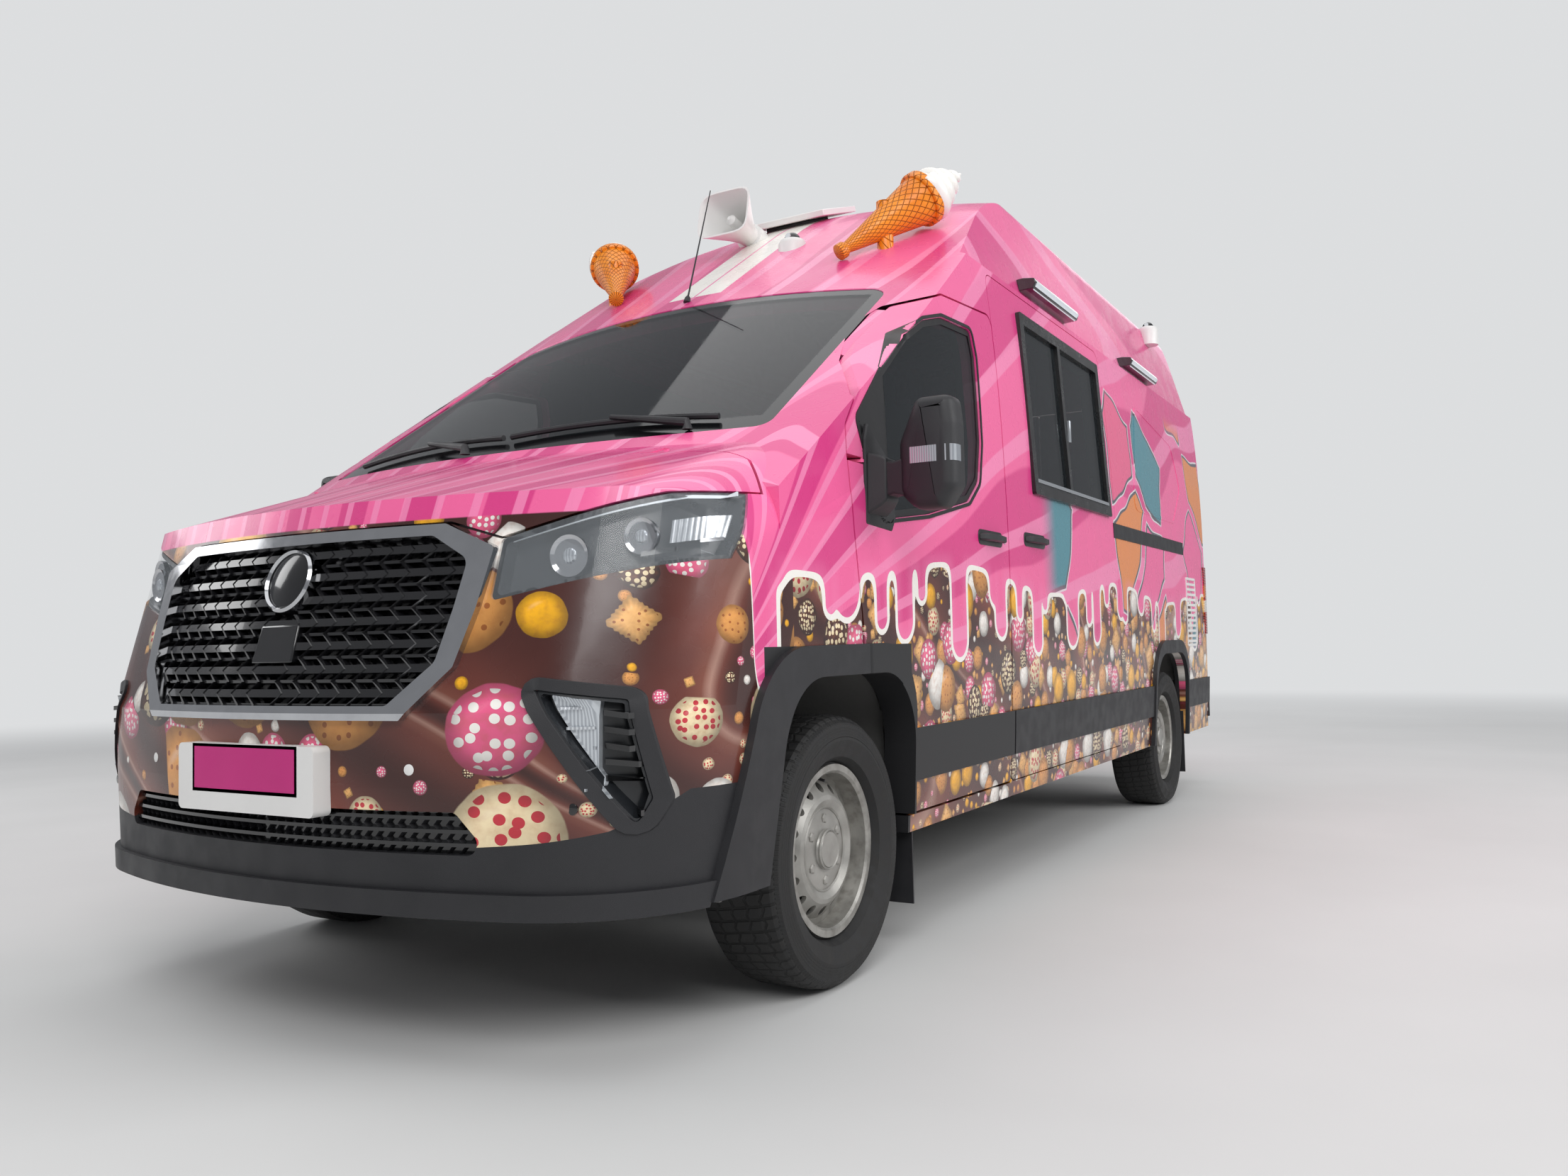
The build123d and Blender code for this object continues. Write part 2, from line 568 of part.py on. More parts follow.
def body_shell():
    body = SHELL - ROOF_REGION - SCREEN_CUT
    ahead = slab((-SPAN, SPAN), (FRONT_LIMIT, HOOD_HINGE[0] + 2), (100, 1800))
    body = body - ahead - slab((-SPAN, SPAN), (-400, DOOR_FRONT_Y), (100, 1200))
    plan = hood_region(-HOOD_GAP) & slab((-SPAN, SPAN), (-420, -250), (1200, 1600))
    cowl = SHELL & slab((-880, 880), (-420, HOOD_HINGE[0] + 4), (1200, 1600))
    body = body + cowl - plan
    sides = slab((880, SPAN), (-1300, 300), (100, 1700)) & FENDER_REGION
    body = body - fused(both(sides)) - across(grown(DOOR_FACE, DOOR_GAP))
    body = body - across(grown(SLIDING_FACE, PANEL_GAP), 500, SPAN)
    body = body - FRONT_ARCH_CUT - REAR_ARCH_CUT
    thin = slab((-700, 700), (-420, -235), (1200, 1600)) & nose(COWL_WALL)
    body = body - thin
    body = body - fused(both(rear_opening()))
    pillar = slab(PILLAR_X, PILLAR_Y, (ARCH_Z + LINER_WALL, 1440)) & OUTER
    side = fused([door_frame(), pillar] + [hinge_arm(z) for z in DOOR_HINGE_Z])
    body = body + fused(both(side))
    seat = across(grown(SLIDING_FACE, 30) - grown(SLIDING_FACE, -30), 500, SPAN)
    seat = seat & slab((DOOR_INNER_X - 40, SPAN), (B_POST_Y[1] + 5, 3000), (SILL_Z, 2249))
    body = body + layer(cabin(WALL), cabin(WALL + 14), seat)
    edge = across(grown(SLIDING_FACE, 30) - grown(SLIDING_FACE, PANEL_GAP), 500, SPAN)
    edge = edge & slab((DOOR_INNER_X - 40, SPAN), (B_POST_Y[1] + 5, 3000), (SILL_Z, 2249))
    body = body + layer(OUTER_CABIN, cabin(WALL + 14), edge)
    body = body - fused(both(tail_lamp_region()))
    for x in (-HOOD_HINGE_X, HOOD_HINGE_X):
        y, z = HOOD_HINGE
        body = body - slab((x - 10, x + 10), (-450, y + 15), (1300, 1500))
    body = body + fused(both(hood_hinge(HOOD_HINGE_X)))
    lugs = [rear_hinge_lugs(z) for z in REAR_HINGE_Z]
    return body + fused(both(fused(lugs)))


def rear_opening():
    return along(outline(rear_door_corners(PANEL_GAP + 2)), 4700, TAIL_Y + 50)


def rear_hinge_lugs(z):
    x, y = REAR_HINGE
    pin = rod((x, y, z - 36), (x, y, z + 36), REAR_PIN_R)
    lugs = [slab((x - 8, x + 30), (y - 66, y + 7), (z + s * 30 - 6, z + s * 30 + 6)) for s in (-1, 1)]
    return pin + fused(lugs)


def rear_knuckle(z):
    x, y = REAR_HINGE
    ring = rod((x, y, z - 18), (x, y, z + 18), 13)
    arm = slab((x - 38, x - 4), (y - 19, y - 5), (z - 18, z + 18))
    root = slab((x - 78, x - 34), (y - 66, y - 5), (z - 18, z + 18))
    return ring + arm + root - rod((x, y, z - 40), (x, y, z + 40), REAR_PIN_R + FIT)


def tail_lamp_region():
    return slab((874, SPAN), (4700, TAIL_Y + 60), TAIL_LAMP_Z)


def rear_door_corners(gap):
    low, high = REAR_DOOR_Z
    mid = REAR_DOOR_SEAM / 2 - gap
    return (
        (mid, low - gap, 15.0), (REAR_DOOR_HALF + gap, low - gap, 30.0),
        (REAR_DOOR_HALF + gap, high + gap, 60.0), (mid, high + gap, 15.0),
    )


def rear_door():
    door = layer(OUTER_CABIN, cabin(WALL), along(outline(rear_door_corners(0)), 4700, TAIL_Y + 50))
    return fused([door] + [rear_knuckle(z) for z in REAR_HINGE_Z])


def flare_swing(clear):
    """Round column about the door's axis that the nose of its flare sweeps."""
    x, y = DOOR_HINGE
    return Pos(x, y, ARCH_Z) * Cylinder(FLARE_SWING_R + clear, ARCH_Z)


def front_door():
    door = (OUTER & across(DOOR_FACE, DOOR_INNER_X, SPAN)) - INNER_DOOR
    strip = layer(TRIM_OUT, OUTER, slab((900, SPAN), (380, DOOR_REAR_Y), STRIP_Z) & across(DOOR_FACE, DOOR_INNER_X, SPAN))
    flare = layer(FLARE_OUT, OUTER, across(FRONT_FLARE_FACE & DOOR_FACE, DOOR_INNER_X, SPAN))
    x, y = DOOR_HINGE
    flare = flare - (slab((x, SPAN), (y - 2 * FLARE_SWING_R, y), (SILL_Z, 1000)) - flare_swing(0))
    door = door + strip + flare - FRONT_ARCH_CUT - across(WINDOW_FACE, DOOR_INNER_X, SPAN)
    for z in DOOR_HINGE_Z:
        door = door - hinge_slot(z)
    return door


def side_glass():
    return layer(cabin(8), cabin(13), across(WINDOW_FACE, DOOR_INNER_X, SPAN))


def mirror_unit():
    """Base on the door, arm and tall head of the left mirror."""
    base = across(outline(MIRROR_BASE), 950, 1014) - OUTER
    block = slab((950, 1062), (112, 300), (1215, 1400)) & across(outline(MIRROR_BASE)) - OUTER
    x0, x1 = MIRROR_HEAD_X
    arm = slab((1040, x0 + 20), (MIRROR_Y[0] + 8, MIRROR_Y[1] - 12), MIRROR_ARM_Z)
    head = slab((x0, x1), MIRROR_Y, MIRROR_HEAD_Z)
    head = fillet(head.edges().filter_by(Axis.Y), 40)
    return base + block + arm + head - hinge_slot(DOOR_HINGE_Z[1])


def sliding_door():
    door = layer(OUTER_CABIN, cabin(WALL), across(SLIDING_FACE, 500, SPAN))
    return door - serving_block(0)


def serving_block(inset, depth=SERVING_DEPTH, proud=SERVING_PROUD):
    """Leaning block that the serving window's frame fills, or an opening inside it."""
    lean = atan2(SERVING_LEAN, SERVING_Z[1] - SERVING_Z[0])
    plane = Plane(origin=(SERVING_X, 0, SERVING_Z[0]), x_dir=(0, 1, 0), z_dir=(cos(lean), 0, sin(lean)))
    (y0, y1), height = SERVING_Y, (SERVING_Z[1] - SERVING_Z[0]) / cos(lean)
    face = outline((
        (y0 + inset, inset, 12.0), (y1 - inset, inset, 12.0),
        (y1 - inset, height - inset, 12.0), (y0 + inset, height - inset, 12.0),
    ))
    return extrude(plane.offset(-depth) * face, amount=depth + proud)


def serving_window():
    frame = serving_block(0) - serving_block(SERVING_RAIL, SERVING_DEPTH + 20, SERVING_PROUD + 20)
    mullion = slab((800, SPAN), (MULLION_Y - 18, MULLION_Y + 18), (1300, 2300))
    frame = frame + (serving_block(SERVING_RAIL - 2, 20, SERVING_PROUD) & mullion)
    return frame - serving_glass()


def serving_glass():
    return serving_block(SERVING_RAIL - 8, 6, 0)


def hood():
    panel = (NOSE_SHELL & HOOD_ZONE)
    return panel + hood_arm(HOOD_HINGE_X) + hood_arm(-HOOD_HINGE_X)


def front_fender():
    zone = slab((880, SPAN), (-1300, 300), (100, 1700))
    fender = layer(OUTER, hull(NOSE_WALL), zone & FENDER_REGION) - BUMPER_REGION - HOOD_CLEAR - LAMP_CUT
    return fender - across(FRONT_FLARE_FACE) - flare_swing(SWING_CLEAR)


def front_bumper():
    bumper = (NOSE_SHELL & BUMPER_REGION) - SKIRT_REGION - HOOD_CLEAR - LAMP_CUT - GRILLE_CUT
    return bumper - FOG_CUT - INTAKE_CUT - across(FRONT_FLARE_FACE)


def bumper_skirt():
    skirt = (NOSE_SHELL & BUMPER_REGION & SKIRT_REGION) - INTAKE_CUT - FOG_CUT
    lip = layer(nose(-LIP_PROUD), INNER_NOSE, slab((-SPAN, SPAN), (FRONT_LIMIT, -600), (NOSE_BOTTOM_Z, LIP_TOP_Z)))
    return skirt + lip - across(FRONT_FLARE_FACE)


def plate_holder():
    (half, z0, z1) = PLINTH
    face = outline(((-half, z0, 14.0), (half, z0, 14.0), (half, z1, 14.0), (-half, z1, 14.0)))
    return along(face, -FRONT_REACH, -900) - OUTER


def grille_surround():
    return layer(nose(-CHROME_PROUD), nose(GRILLE_DEPTH), GRILLE_CUT - GRILLE_HOLE) - HOOD_CLEAR


def grille_mesh():
    back = nose(GRILLE_DEPTH)
    plate = layer(nose(GRILLE_DEPTH - 8), back, GRILLE_HOLE)
    pitch = (GRILLE_INNER[0][1] - GRILLE_INNER[-1][1]) / GRILLE_BARS
    front = nose(8)
    for row in range(GRILLE_BARS):
        z = GRILLE_INNER[-1][1] + pitch * (row + 0.5)
        bar = slab((-SPAN, SPAN), (FRONT_LIMIT, -500), (z - 9, z + 9))
        plate = plate + layer(front, back, GRILLE_HOLE & bar)
    low = layer(nose(NOSE_WALL - 8), INNER_NOSE, INTAKE_CUT)
    for row in range(3):
        z = INTAKE[1][1] + 20 + 28 * row
        bar = slab((-SPAN, SPAN), (FRONT_LIMIT, -500), (z - 4, z + 4))
        low = low + layer(nose(10), INNER_NOSE, INTAKE_CUT & bar)
    return [plate, low]


def front_lamps():
    """Headlamp trays and fog lamp trays of the left side."""
    zone = lamp_region(0)
    tray = layer(nose(LENS_DEPTH), nose(50), zone) - layer(nose(LENS_DEPTH - 1), nose(42), lamp_region(10))
    fog = layer(nose(4), nose(40), fog_region(0)) - layer(nose(3), nose(32), fog_region(10))
    return tray - HOOD_CLEAR, fog


def headlamp_lens():
    return layer(nose(1), nose(LENS_DEPTH), lamp_region(0))


def windscreen():
    return layer(hull(3), hull(9), SCREEN_CUT)


def arch_ring(inner, outer, low, high):
    return across(outer - inner) & slab((-SPAN, SPAN), (low, high), (SILL_Z, 1000))


def body_trim():
    edge = DOOR_FRONT_Y - DOOR_GAP
    flush = layer(OUTER, hull(NOSE_WALL), arch_ring(FRONT_ARCH_FACE, FRONT_FLARE_FACE, -700, edge))
    proud = layer(FLARE_OUT, OUTER, arch_ring(FRONT_ARCH_FACE, FRONT_FLARE_FACE, -700, edge))
    front = flush + proud - fused(both(flare_swing(SWING_CLEAR)))
    rear = layer(FLARE_OUT, OUTER, arch_ring(REAR_ARCH_FACE, REAR_FLARE_FACE, 3300, 4300))
    rear_low, rear_high = WHEELBASE + REAR_FLARE[0][0], WHEELBASE + REAR_FLARE[-1][0]
    bands = ((1274.0, rear_low + 20), (rear_high - 20, TAIL_Y - 105))
    trim = [front, rear]
    for span in bands:
        band = layer(TRIM_OUT, OUTER, slab((-SPAN, SPAN), span, STRIP_Z)) - across(REAR_FLARE_FACE)
        trim.append(band & (slab((900, SPAN), span, STRIP_Z) + slab((-SPAN, -900), span, STRIP_Z)))
    rail = layer(hull(-3), OUTER, slab((900, SPAN), RAIL_Y, RAIL_Z))
    return [s for t in trim for s in t.solids()] + rail.solids()


def rear_bumper():
    plan = outline(((-1000, 4700, 0), (1000, 4700, 0), (1000, TAIL_Y + 45, 110.0), (-1000, TAIL_Y + 45, 110.0)))
    return upward(plan, *REAR_BUMPER_Z) - OUTER_CABIN - slab((-SPAN, SPAN), (4600, 4790), (300, 700))


def tail_lamp():
    return layer(cabin(-8), cabin(24), tail_lamp_region())


def floor_pan():
    low, high = FLOOR_Z
    floor = slab((-SPAN, SPAN), (FIREWALL_Y, TAIL_Y - WALL), FLOOR_Z)
    wall = slab((-920, 920), (FIREWALL_Y - 12, FIREWALL_Y), (low, DASH_Z[0]))
    pan = (floor + wall) & INNER
    pan = pan - fused(both(slab((FLOOR_EDGE_X, SPAN), (-500, DOOR_REAR_Y + DOOR_GAP), (100, high + 1))))
    liner_face = outline(FRONT_LINER)
    liner = across(grown(liner_face, LINER_WALL) - liner_face, FRONT_ARCH_INNER_X, FLOOR_EDGE_X - 5)
    liner = liner & slab((0, SPAN), (-600, 600), (SECTION_FLOOR + 100, 1000))
    box_face = outline(moved(REAR_BOX, WHEELBASE))
    box_in = across(box_face, REAR_BOX_X, SPAN)
    box = across(grown(box_face, LINER_WALL), REAR_BOX_X - LINER_WALL, SPAN) - box_in
    box = box & INNER & slab((0, SPAN), (3000, 4500), (low, 1000))
    pan = pan - fused(both(across(liner_face, FRONT_ARCH_INNER_X, SPAN))) - fused(both(box_in))
    return pan + fused(both(liner)) + fused(both(box))


def chassis_frame():
    x0, x1 = RAIL_X
    low, high = RAIL_HEIGHT
    frame = fused(both(slab(RAIL_X, (-880, 4800), RAIL_HEIGHT)))
    for y in (-860.0, 1900.0, 3000.0, 4700.0):
        frame = frame + slab((-x0 - 1, x0 + 1), (y, y + 80), (low + 20, high - 20))
    cradle = slab((-x1, x1), (500, 580), (GEARBOX_Z[0] - 40, GEARBOX_Z[0]))
    posts = fused(both(slab(RAIL_X, (500, 580), (GEARBOX_Z[0] - 40, low + 5))))
    outriggers = [slab((x1 - 1, FLOOR_EDGE_X), (y, y + 60), (high - 60, high)) for y in (900.0, 1900.0, 3000.0, 4700.0)]
    return frame + cradle + posts + fused([one for rigger in outriggers for one in both(rigger)])


def engine_block():
    block = slab((-260, 260), (-640, FIREWALL_Y - 15), (480, 1010))
    gearbox = slab((-150, 150), (FIREWALL_Y - 16, GEARBOX_END_Y), GEARBOX_Z)
    mounts = slab((-RAIL_X[0], RAIL_X[0]), (-320, -240), (540, 600))
    return block + gearbox + mounts


def front_suspension():
    x0, x1 = RAIL_X
    low = RAIL_HEIGHT[0]
    frame = slab((-x1, x1), (-50, 50), (290, 340))
    left = slab(RAIL_X, (-50, 50), (330, low)) + slab((300, 345), (-45, 45), (222, 295))
    left = left + slab((300, KINGPIN_X), (-24, 24), ARM_Z) + Pos(KINGPIN_X, 0, sum(ARM_Z) / 2) * Cylinder(22, ARM_Z[1] - ARM_Z[0])
    left = left + rod((STRUT_X, 0, ARM_Z[0]), (STRUT_X, 0, ARCH_Z), 28)
    left = left + rod((STRUT_X, 0, 740), (STRUT_X, 0, 756), 62)
    left = left + slab((STRUT_X, KINGPIN_X), (-20, 20), LINK_Z) + Pos(KINGPIN_X, 0, sum(LINK_Z) / 2) * Cylinder(20, LINK_Z[1] - LINK_Z[0])
    left = left + rod((KINGPIN_X, 0, ARM_Z[0]), (KINGPIN_X, 0, 288), KINGPIN_R)
    left = left + rod((KINGPIN_X, 0, 412), (KINGPIN_X, 0, LINK_Z[1]), KINGPIN_R)
    return frame + fused(both(left))


def knuckle():
    upright = slab((KINGPIN_X - 22, KINGPIN_X + 16), (-24, 24), (262, 438))
    hub = rod((KINGPIN_X, 0, AXLE_Z), (DISC_X[0] + 1, 0, AXLE_Z), 48)
    disc = rod((DISC_X[0], 0, AXLE_Z), (DISC_X[1], 0, AXLE_Z), 150)
    stub = rod((KINGPIN_X, 0, AXLE_Z), (STUB_END_X, 0, AXLE_Z), STUB_R)
    upright = upright + hub + disc + stub
    upright = upright - rod((KINGPIN_X, 0, 250), (KINGPIN_X, 0, 290), KINGPIN_R + FIT)
    return upright - rod((KINGPIN_X, 0, 410), (KINGPIN_X, 0, 450), KINGPIN_R + FIT)


def rear_axle():
    y = WHEELBASE
    axle = rod((-DISC_X[0], y, AXLE_Z), (DISC_X[0], y, AXLE_Z), 55)
    axle = axle + Pos(0, y, AXLE_Z) * Sphere(140) + rod((-STUB_END_X, y, AXLE_Z), (STUB_END_X, y, AXLE_Z), STUB_R)
    x0, x1 = RAIL_X
    low = RAIL_HEIGHT[0]
    eye = low - 28
    leaf = make_face([
        ThreePointArc((y - SPRING_HALF, eye - 12), (y, AXLE_Z + 48), (y + SPRING_HALF, eye - 12)),
        Line((y + SPRING_HALF, eye - 12), (y + SPRING_HALF, eye + 12)),
        ThreePointArc((y + SPRING_HALF, eye + 12), (y, AXLE_Z + 76), (y - SPRING_HALF, eye + 12)),
        Line((y - SPRING_HALF, eye + 12), (y - SPRING_HALF, eye - 12)),
    ])
    side = across(leaf, x0 + 5, x1 - 5) + rod((DISC_X[0] - 22, y, AXLE_Z), (DISC_X[1], y, AXLE_Z), 150)
    for end in (-SPRING_HALF, SPRING_HALF):
        side = side + rod((x0 + 5, y + end, eye), (x1 - 5, y + end, eye), 28)
    shaft = rod((0, y - 100, AXLE_Z + 10), (0, GEARBOX_END_Y + 8, SHAFT_Z), 35)
    flange = rod((0, GEARBOX_END_Y, SHAFT_Z), (0, GEARBOX_END_Y + 16, SHAFT_Z), 60)
    return axle + fused(both(side)) + shaft + flange


def ring_of(profile):
    """Turned piece around the wheel's axle from (x, radius) corners."""
    face = make_face(Polyline(*[(x, r) for x, r in profile], close=True))
    plane = Plane(origin=(0, 0, AXLE_Z), x_dir=(1, 0, 0), z_dir=(0, -1, 0))
    return revolve(plane * face, axis=Axis((0, 0, AXLE_Z), (1, 0, 0)))


def rim():
    wheel = ring_of(RIM_PROFILE)
    for turn in range(RIM_HOLES):
        angle = radians(360.0 * turn / RIM_HOLES)
        y, z = RIM_HOLE_RING * cos(angle), AXLE_Z + RIM_HOLE_RING * sin(angle)
        wheel = wheel - rod((880, y, z), (990, y, z), RIM_HOLE_R)
    return wheel


def tyre():
    return ring_of([(TRACK_HALF + x, r) for x, r in TYRE_PROFILE])


def cab_interior():
    y0, y1 = DASH_Y
    z0, z1 = DASH_Z
    dash = slab((-822, 822), (y0, y1), (z0, z1)) + slab((-822, 822), (FIREWALL_Y, y1 - 30), (z0 - 290, z0 + 1))
    dash = fillet(dash.edges().filter_by(Axis.X).group_by(Axis.Y)[-1], 25)
    dash = dash & INNER
    column_y, column_z = STEERING_CENTRE
    a = radians(STEERING_TILT)
    reach = 330.0
    shaft_end = (DRIVER_X, column_y - 40 * cos(a), column_z - 40 * sin(a))
    shaft_root = (DRIVER_X, column_y - reach * cos(a), column_z - reach * sin(a))
    dash = dash + rod(shaft_root, shaft_end, 34)
    dash = dash - rod(shaft_root, (DRIVER_X, column_y, column_z), 12 + FIT)
    seats = []
    for x in (-SEAT_X, SEAT_X):
        seat = slab((x - 200, x + 200), (800, 1150), (FLOOR_Z[1], 960)) + slab((x - 250, x + 250), (690, 1190), (950, 1080))
        back = Pos(x, 1175, 1400) * Rot(-8, 0, 0) * Box(480, 110, 700)
        seats.append(seat + back + (Pos(x, 1235, 1800) * Box(260, 90, 180)))
    return [dash] + seats


def steering_wheel():
    a = radians(STEERING_TILT)
    y, z = STEERING_CENTRE
    plane = Plane(origin=(DRIVER_X, y, z), x_dir=(1, 0, 0), z_dir=(0, cos(a), sin(a)))
    wheel = plane * Torus(190, 14)
    hub = extrude(plane.offset(-20) * Circle(55), amount=30)
    spokes = extrude(plane.offset(-10) * (Rectangle(370, 40) + Pos(0, -95) * Rectangle(50, 190)), amount=14)
    shaft = extrude(plane.offset(-180) * Circle(12), amount=175)
    return wheel + hub + spokes + shaft


def cone_plane():
    return Plane(origin=CONE_TIP, z_dir=CONE_AXIS)


def cone():
    plane = cone_plane()
    body = plane * Pos(0, 0, CONE_LENGTH / 2) * Cone(CONE_TIP_R, CONE_R, CONE_LENGTH)
    foot = Pos(CONE_TIP[0] + 110, CONE_TIP[1] + 140, 2400) * Cylinder(30, 200)
    return body + (foot - OUTER)


def swirl():
    plane = cone_plane()
    total = None
    for lift, radius, height in SWIRL_ROWS:
        disc = plane * Pos(0, 0, CONE_LENGTH + lift + height / 2) * Cone(radius, radius * 0.82, height)
        total = disc if total is None else total + disc
    return total


def roof_fittings():
    pieces = []
    for y0, y1, z in LED_BARS:
        for one in both(slab((880, 985), (y0, y1), (z - 26, z + 26)) - OUTER):
            pieces.append(one)
    x, y, z = HORN
    stem = rod((x, y + 40, z - 120), (x, y + 40, z + 120), 14) - OUTER
    horn = Pos(x, y - 20, z + 170) * Rot(90, 0, 0) * Cone(40, 125, 260)
    pieces.append(horn + stem)
    x, y, z = FLAT_PANEL
    stem = rod((x, y, z - 200), (x, y, z + 60), 20) - OUTER
    pieces.append(stem + Pos(x, y, z + 70) * Rot(20, 0, 0) * Box(420, 320, 30))
    for x, y, z in CAMERAS:
        base = rod((x, y, z - 90), (x, y, z + 10), 52) - OUTER
        pieces.append(base + Pos(x, y, z + 20) * Sphere(42))
    return [piece - OUTER for piece in pieces]


def listed(shape):
    if isinstance(shape, (list, tuple)):
        return [s for one in shape for s in listed(one)]
    return list(shape.solids())


def save(name, shape):
    """Write one node, shifted from the front axle's frame to the middle of the vehicle."""
    solids = [Pos(0, -ORIGIN_Y, 0) * s for s in listed(shape)]
    export_step(Compound(children=solids) if len(solids) > 1 else solids[0], "parts/" + name + ".step")


def main():
    os.makedirs("parts", exist_ok=True)
    body = body_shell()
    save("body_shell", body)
    save("roof_panel", (SHELL & ROOF_REGION) - SCREEN_CUT - fused(both(rear_opening())))
    save("floor_pan", floor_pan() - body)
    save("chassis_frame", chassis_frame())
    save("engine_block", engine_block())
    save("front_suspension", front_suspension())
    save("rear_axle", rear_axle())
    save("hood", hood())
    save("front_fenders", both(front_fender()))
    save("front_bumper", front_bumper())
    save("bumper_skirt", bumper_skirt())
    save("plate_holder", plate_holder())
    save("grille_surround", grille_surround())
    save("grille_mesh", grille_mesh())
    tray, fog = front_lamps()
    save("lamp_housings", both(tray) + both(fog))
    save("headlamp_lenses", both(headlamp_lens()))
    save("windscreen", windscreen())
    save("sliding_door", sliding_door())
    save("serving_window", serving_window())
    save("serving_glass", serving_glass())
    save("body_trim", body_trim())
    save("rear_bumper", rear_bumper())
    save("tail_lamps", both(tail_lamp()))
    save("cab_interior", cab_interior())
    save("steering_wheel", steering_wheel())
    save("ice_cream_cones", both(cone()))
    save("ice_cream_swirls", both(swirl()))
    save("roof_fittings", roof_fittings())
    for name, solid in (("front_door", front_door()), ("door_glass", side_glass()), ("mirror", mirror_unit()),
                        ("rear_door", rear_door()), ("knuckle", knuckle())):
        left, right = both(solid)
        save(name + "_left", left)
        save(name + "_right", right)
    for name, solid in (("tyre", tyre()), ("rim", rim())):
        for end, y in (("front", 0), ("rear", WHEELBASE)):
            left, right = both(Pos(0, y, 0) * solid)
            save(name + "_" + end + "_left", left)
            save(name + "_" + end + "_right", right)


main()
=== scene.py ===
import math

import bmesh
import bpy
from mathutils import Matrix, Vector
from mathutils.bvhtree import BVHTree


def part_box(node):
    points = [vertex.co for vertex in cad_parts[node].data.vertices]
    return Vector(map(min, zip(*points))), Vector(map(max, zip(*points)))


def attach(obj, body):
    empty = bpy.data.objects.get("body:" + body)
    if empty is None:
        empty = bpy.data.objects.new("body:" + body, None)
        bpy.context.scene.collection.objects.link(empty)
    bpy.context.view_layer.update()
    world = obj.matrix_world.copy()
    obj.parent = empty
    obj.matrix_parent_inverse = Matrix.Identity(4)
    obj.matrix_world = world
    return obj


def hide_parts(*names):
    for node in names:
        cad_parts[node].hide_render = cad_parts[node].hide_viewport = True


# Ice cream van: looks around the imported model. Metres, -Y is forwards, +X is the vehicle's left.

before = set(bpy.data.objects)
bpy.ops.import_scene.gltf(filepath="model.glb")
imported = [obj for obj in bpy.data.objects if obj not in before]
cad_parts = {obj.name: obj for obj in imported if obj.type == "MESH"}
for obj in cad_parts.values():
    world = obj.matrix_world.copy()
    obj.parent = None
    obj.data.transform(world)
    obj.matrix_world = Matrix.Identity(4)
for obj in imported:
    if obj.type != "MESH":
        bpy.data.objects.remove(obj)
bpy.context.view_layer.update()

FRONT_AXLE_Y = -1.94
REAR_AXLE_Y = 1.82
AXLE_Z = 0.352
WHEEL_FACE_X = 0.872

# Camera solved from the photograph
CAMERA_PLACE = (2.432, -4.6986, 0.891)
CAMERA_YAW = 30.2645
CAMERA_PITCH = 2.7085
CAMERA_ROLL = -1.2211
CAMERA_LENS = 27.219


def srgb(code, share=1.0):
    """Linear colour of a six-digit hex code, made darker or lighter by a share."""
    def linear(v):
        return v / 12.92 if v <= 0.04045 else ((v + 0.055) / 1.055) ** 2.4
    return tuple(min(1.0, linear(int(code[i:i + 2], 16) / 255) * share) for i in (0, 2, 4)) + (1.0,)


def sign(operation, swapped=False):
    def made(self, other):
        pair = (other, self) if swapped else (self, other)
        return self.shader.math(operation, *pair)
    return made


class Term:
    """A shader's socket in a sum: each sign adds one maths node."""

    def __init__(self, shader, socket):
        self.shader = shader
        self.socket = socket

    def __abs__(self):
        return self.shader.math("ABSOLUTE", self)

    def between(self, low, high):
        return (self > low) * (self < high)

    __add__ = __radd__ = sign("ADD")
    __mul__ = __rmul__ = sign("MULTIPLY")
    __sub__ = sign("SUBTRACT")
    __rsub__ = sign("SUBTRACT", swapped=True)
    __truediv__ = sign("DIVIDE")
    __pow__ = sign("POWER")
    __gt__ = sign("GREATER_THAN")
    __lt__ = sign("LESS_THAN")


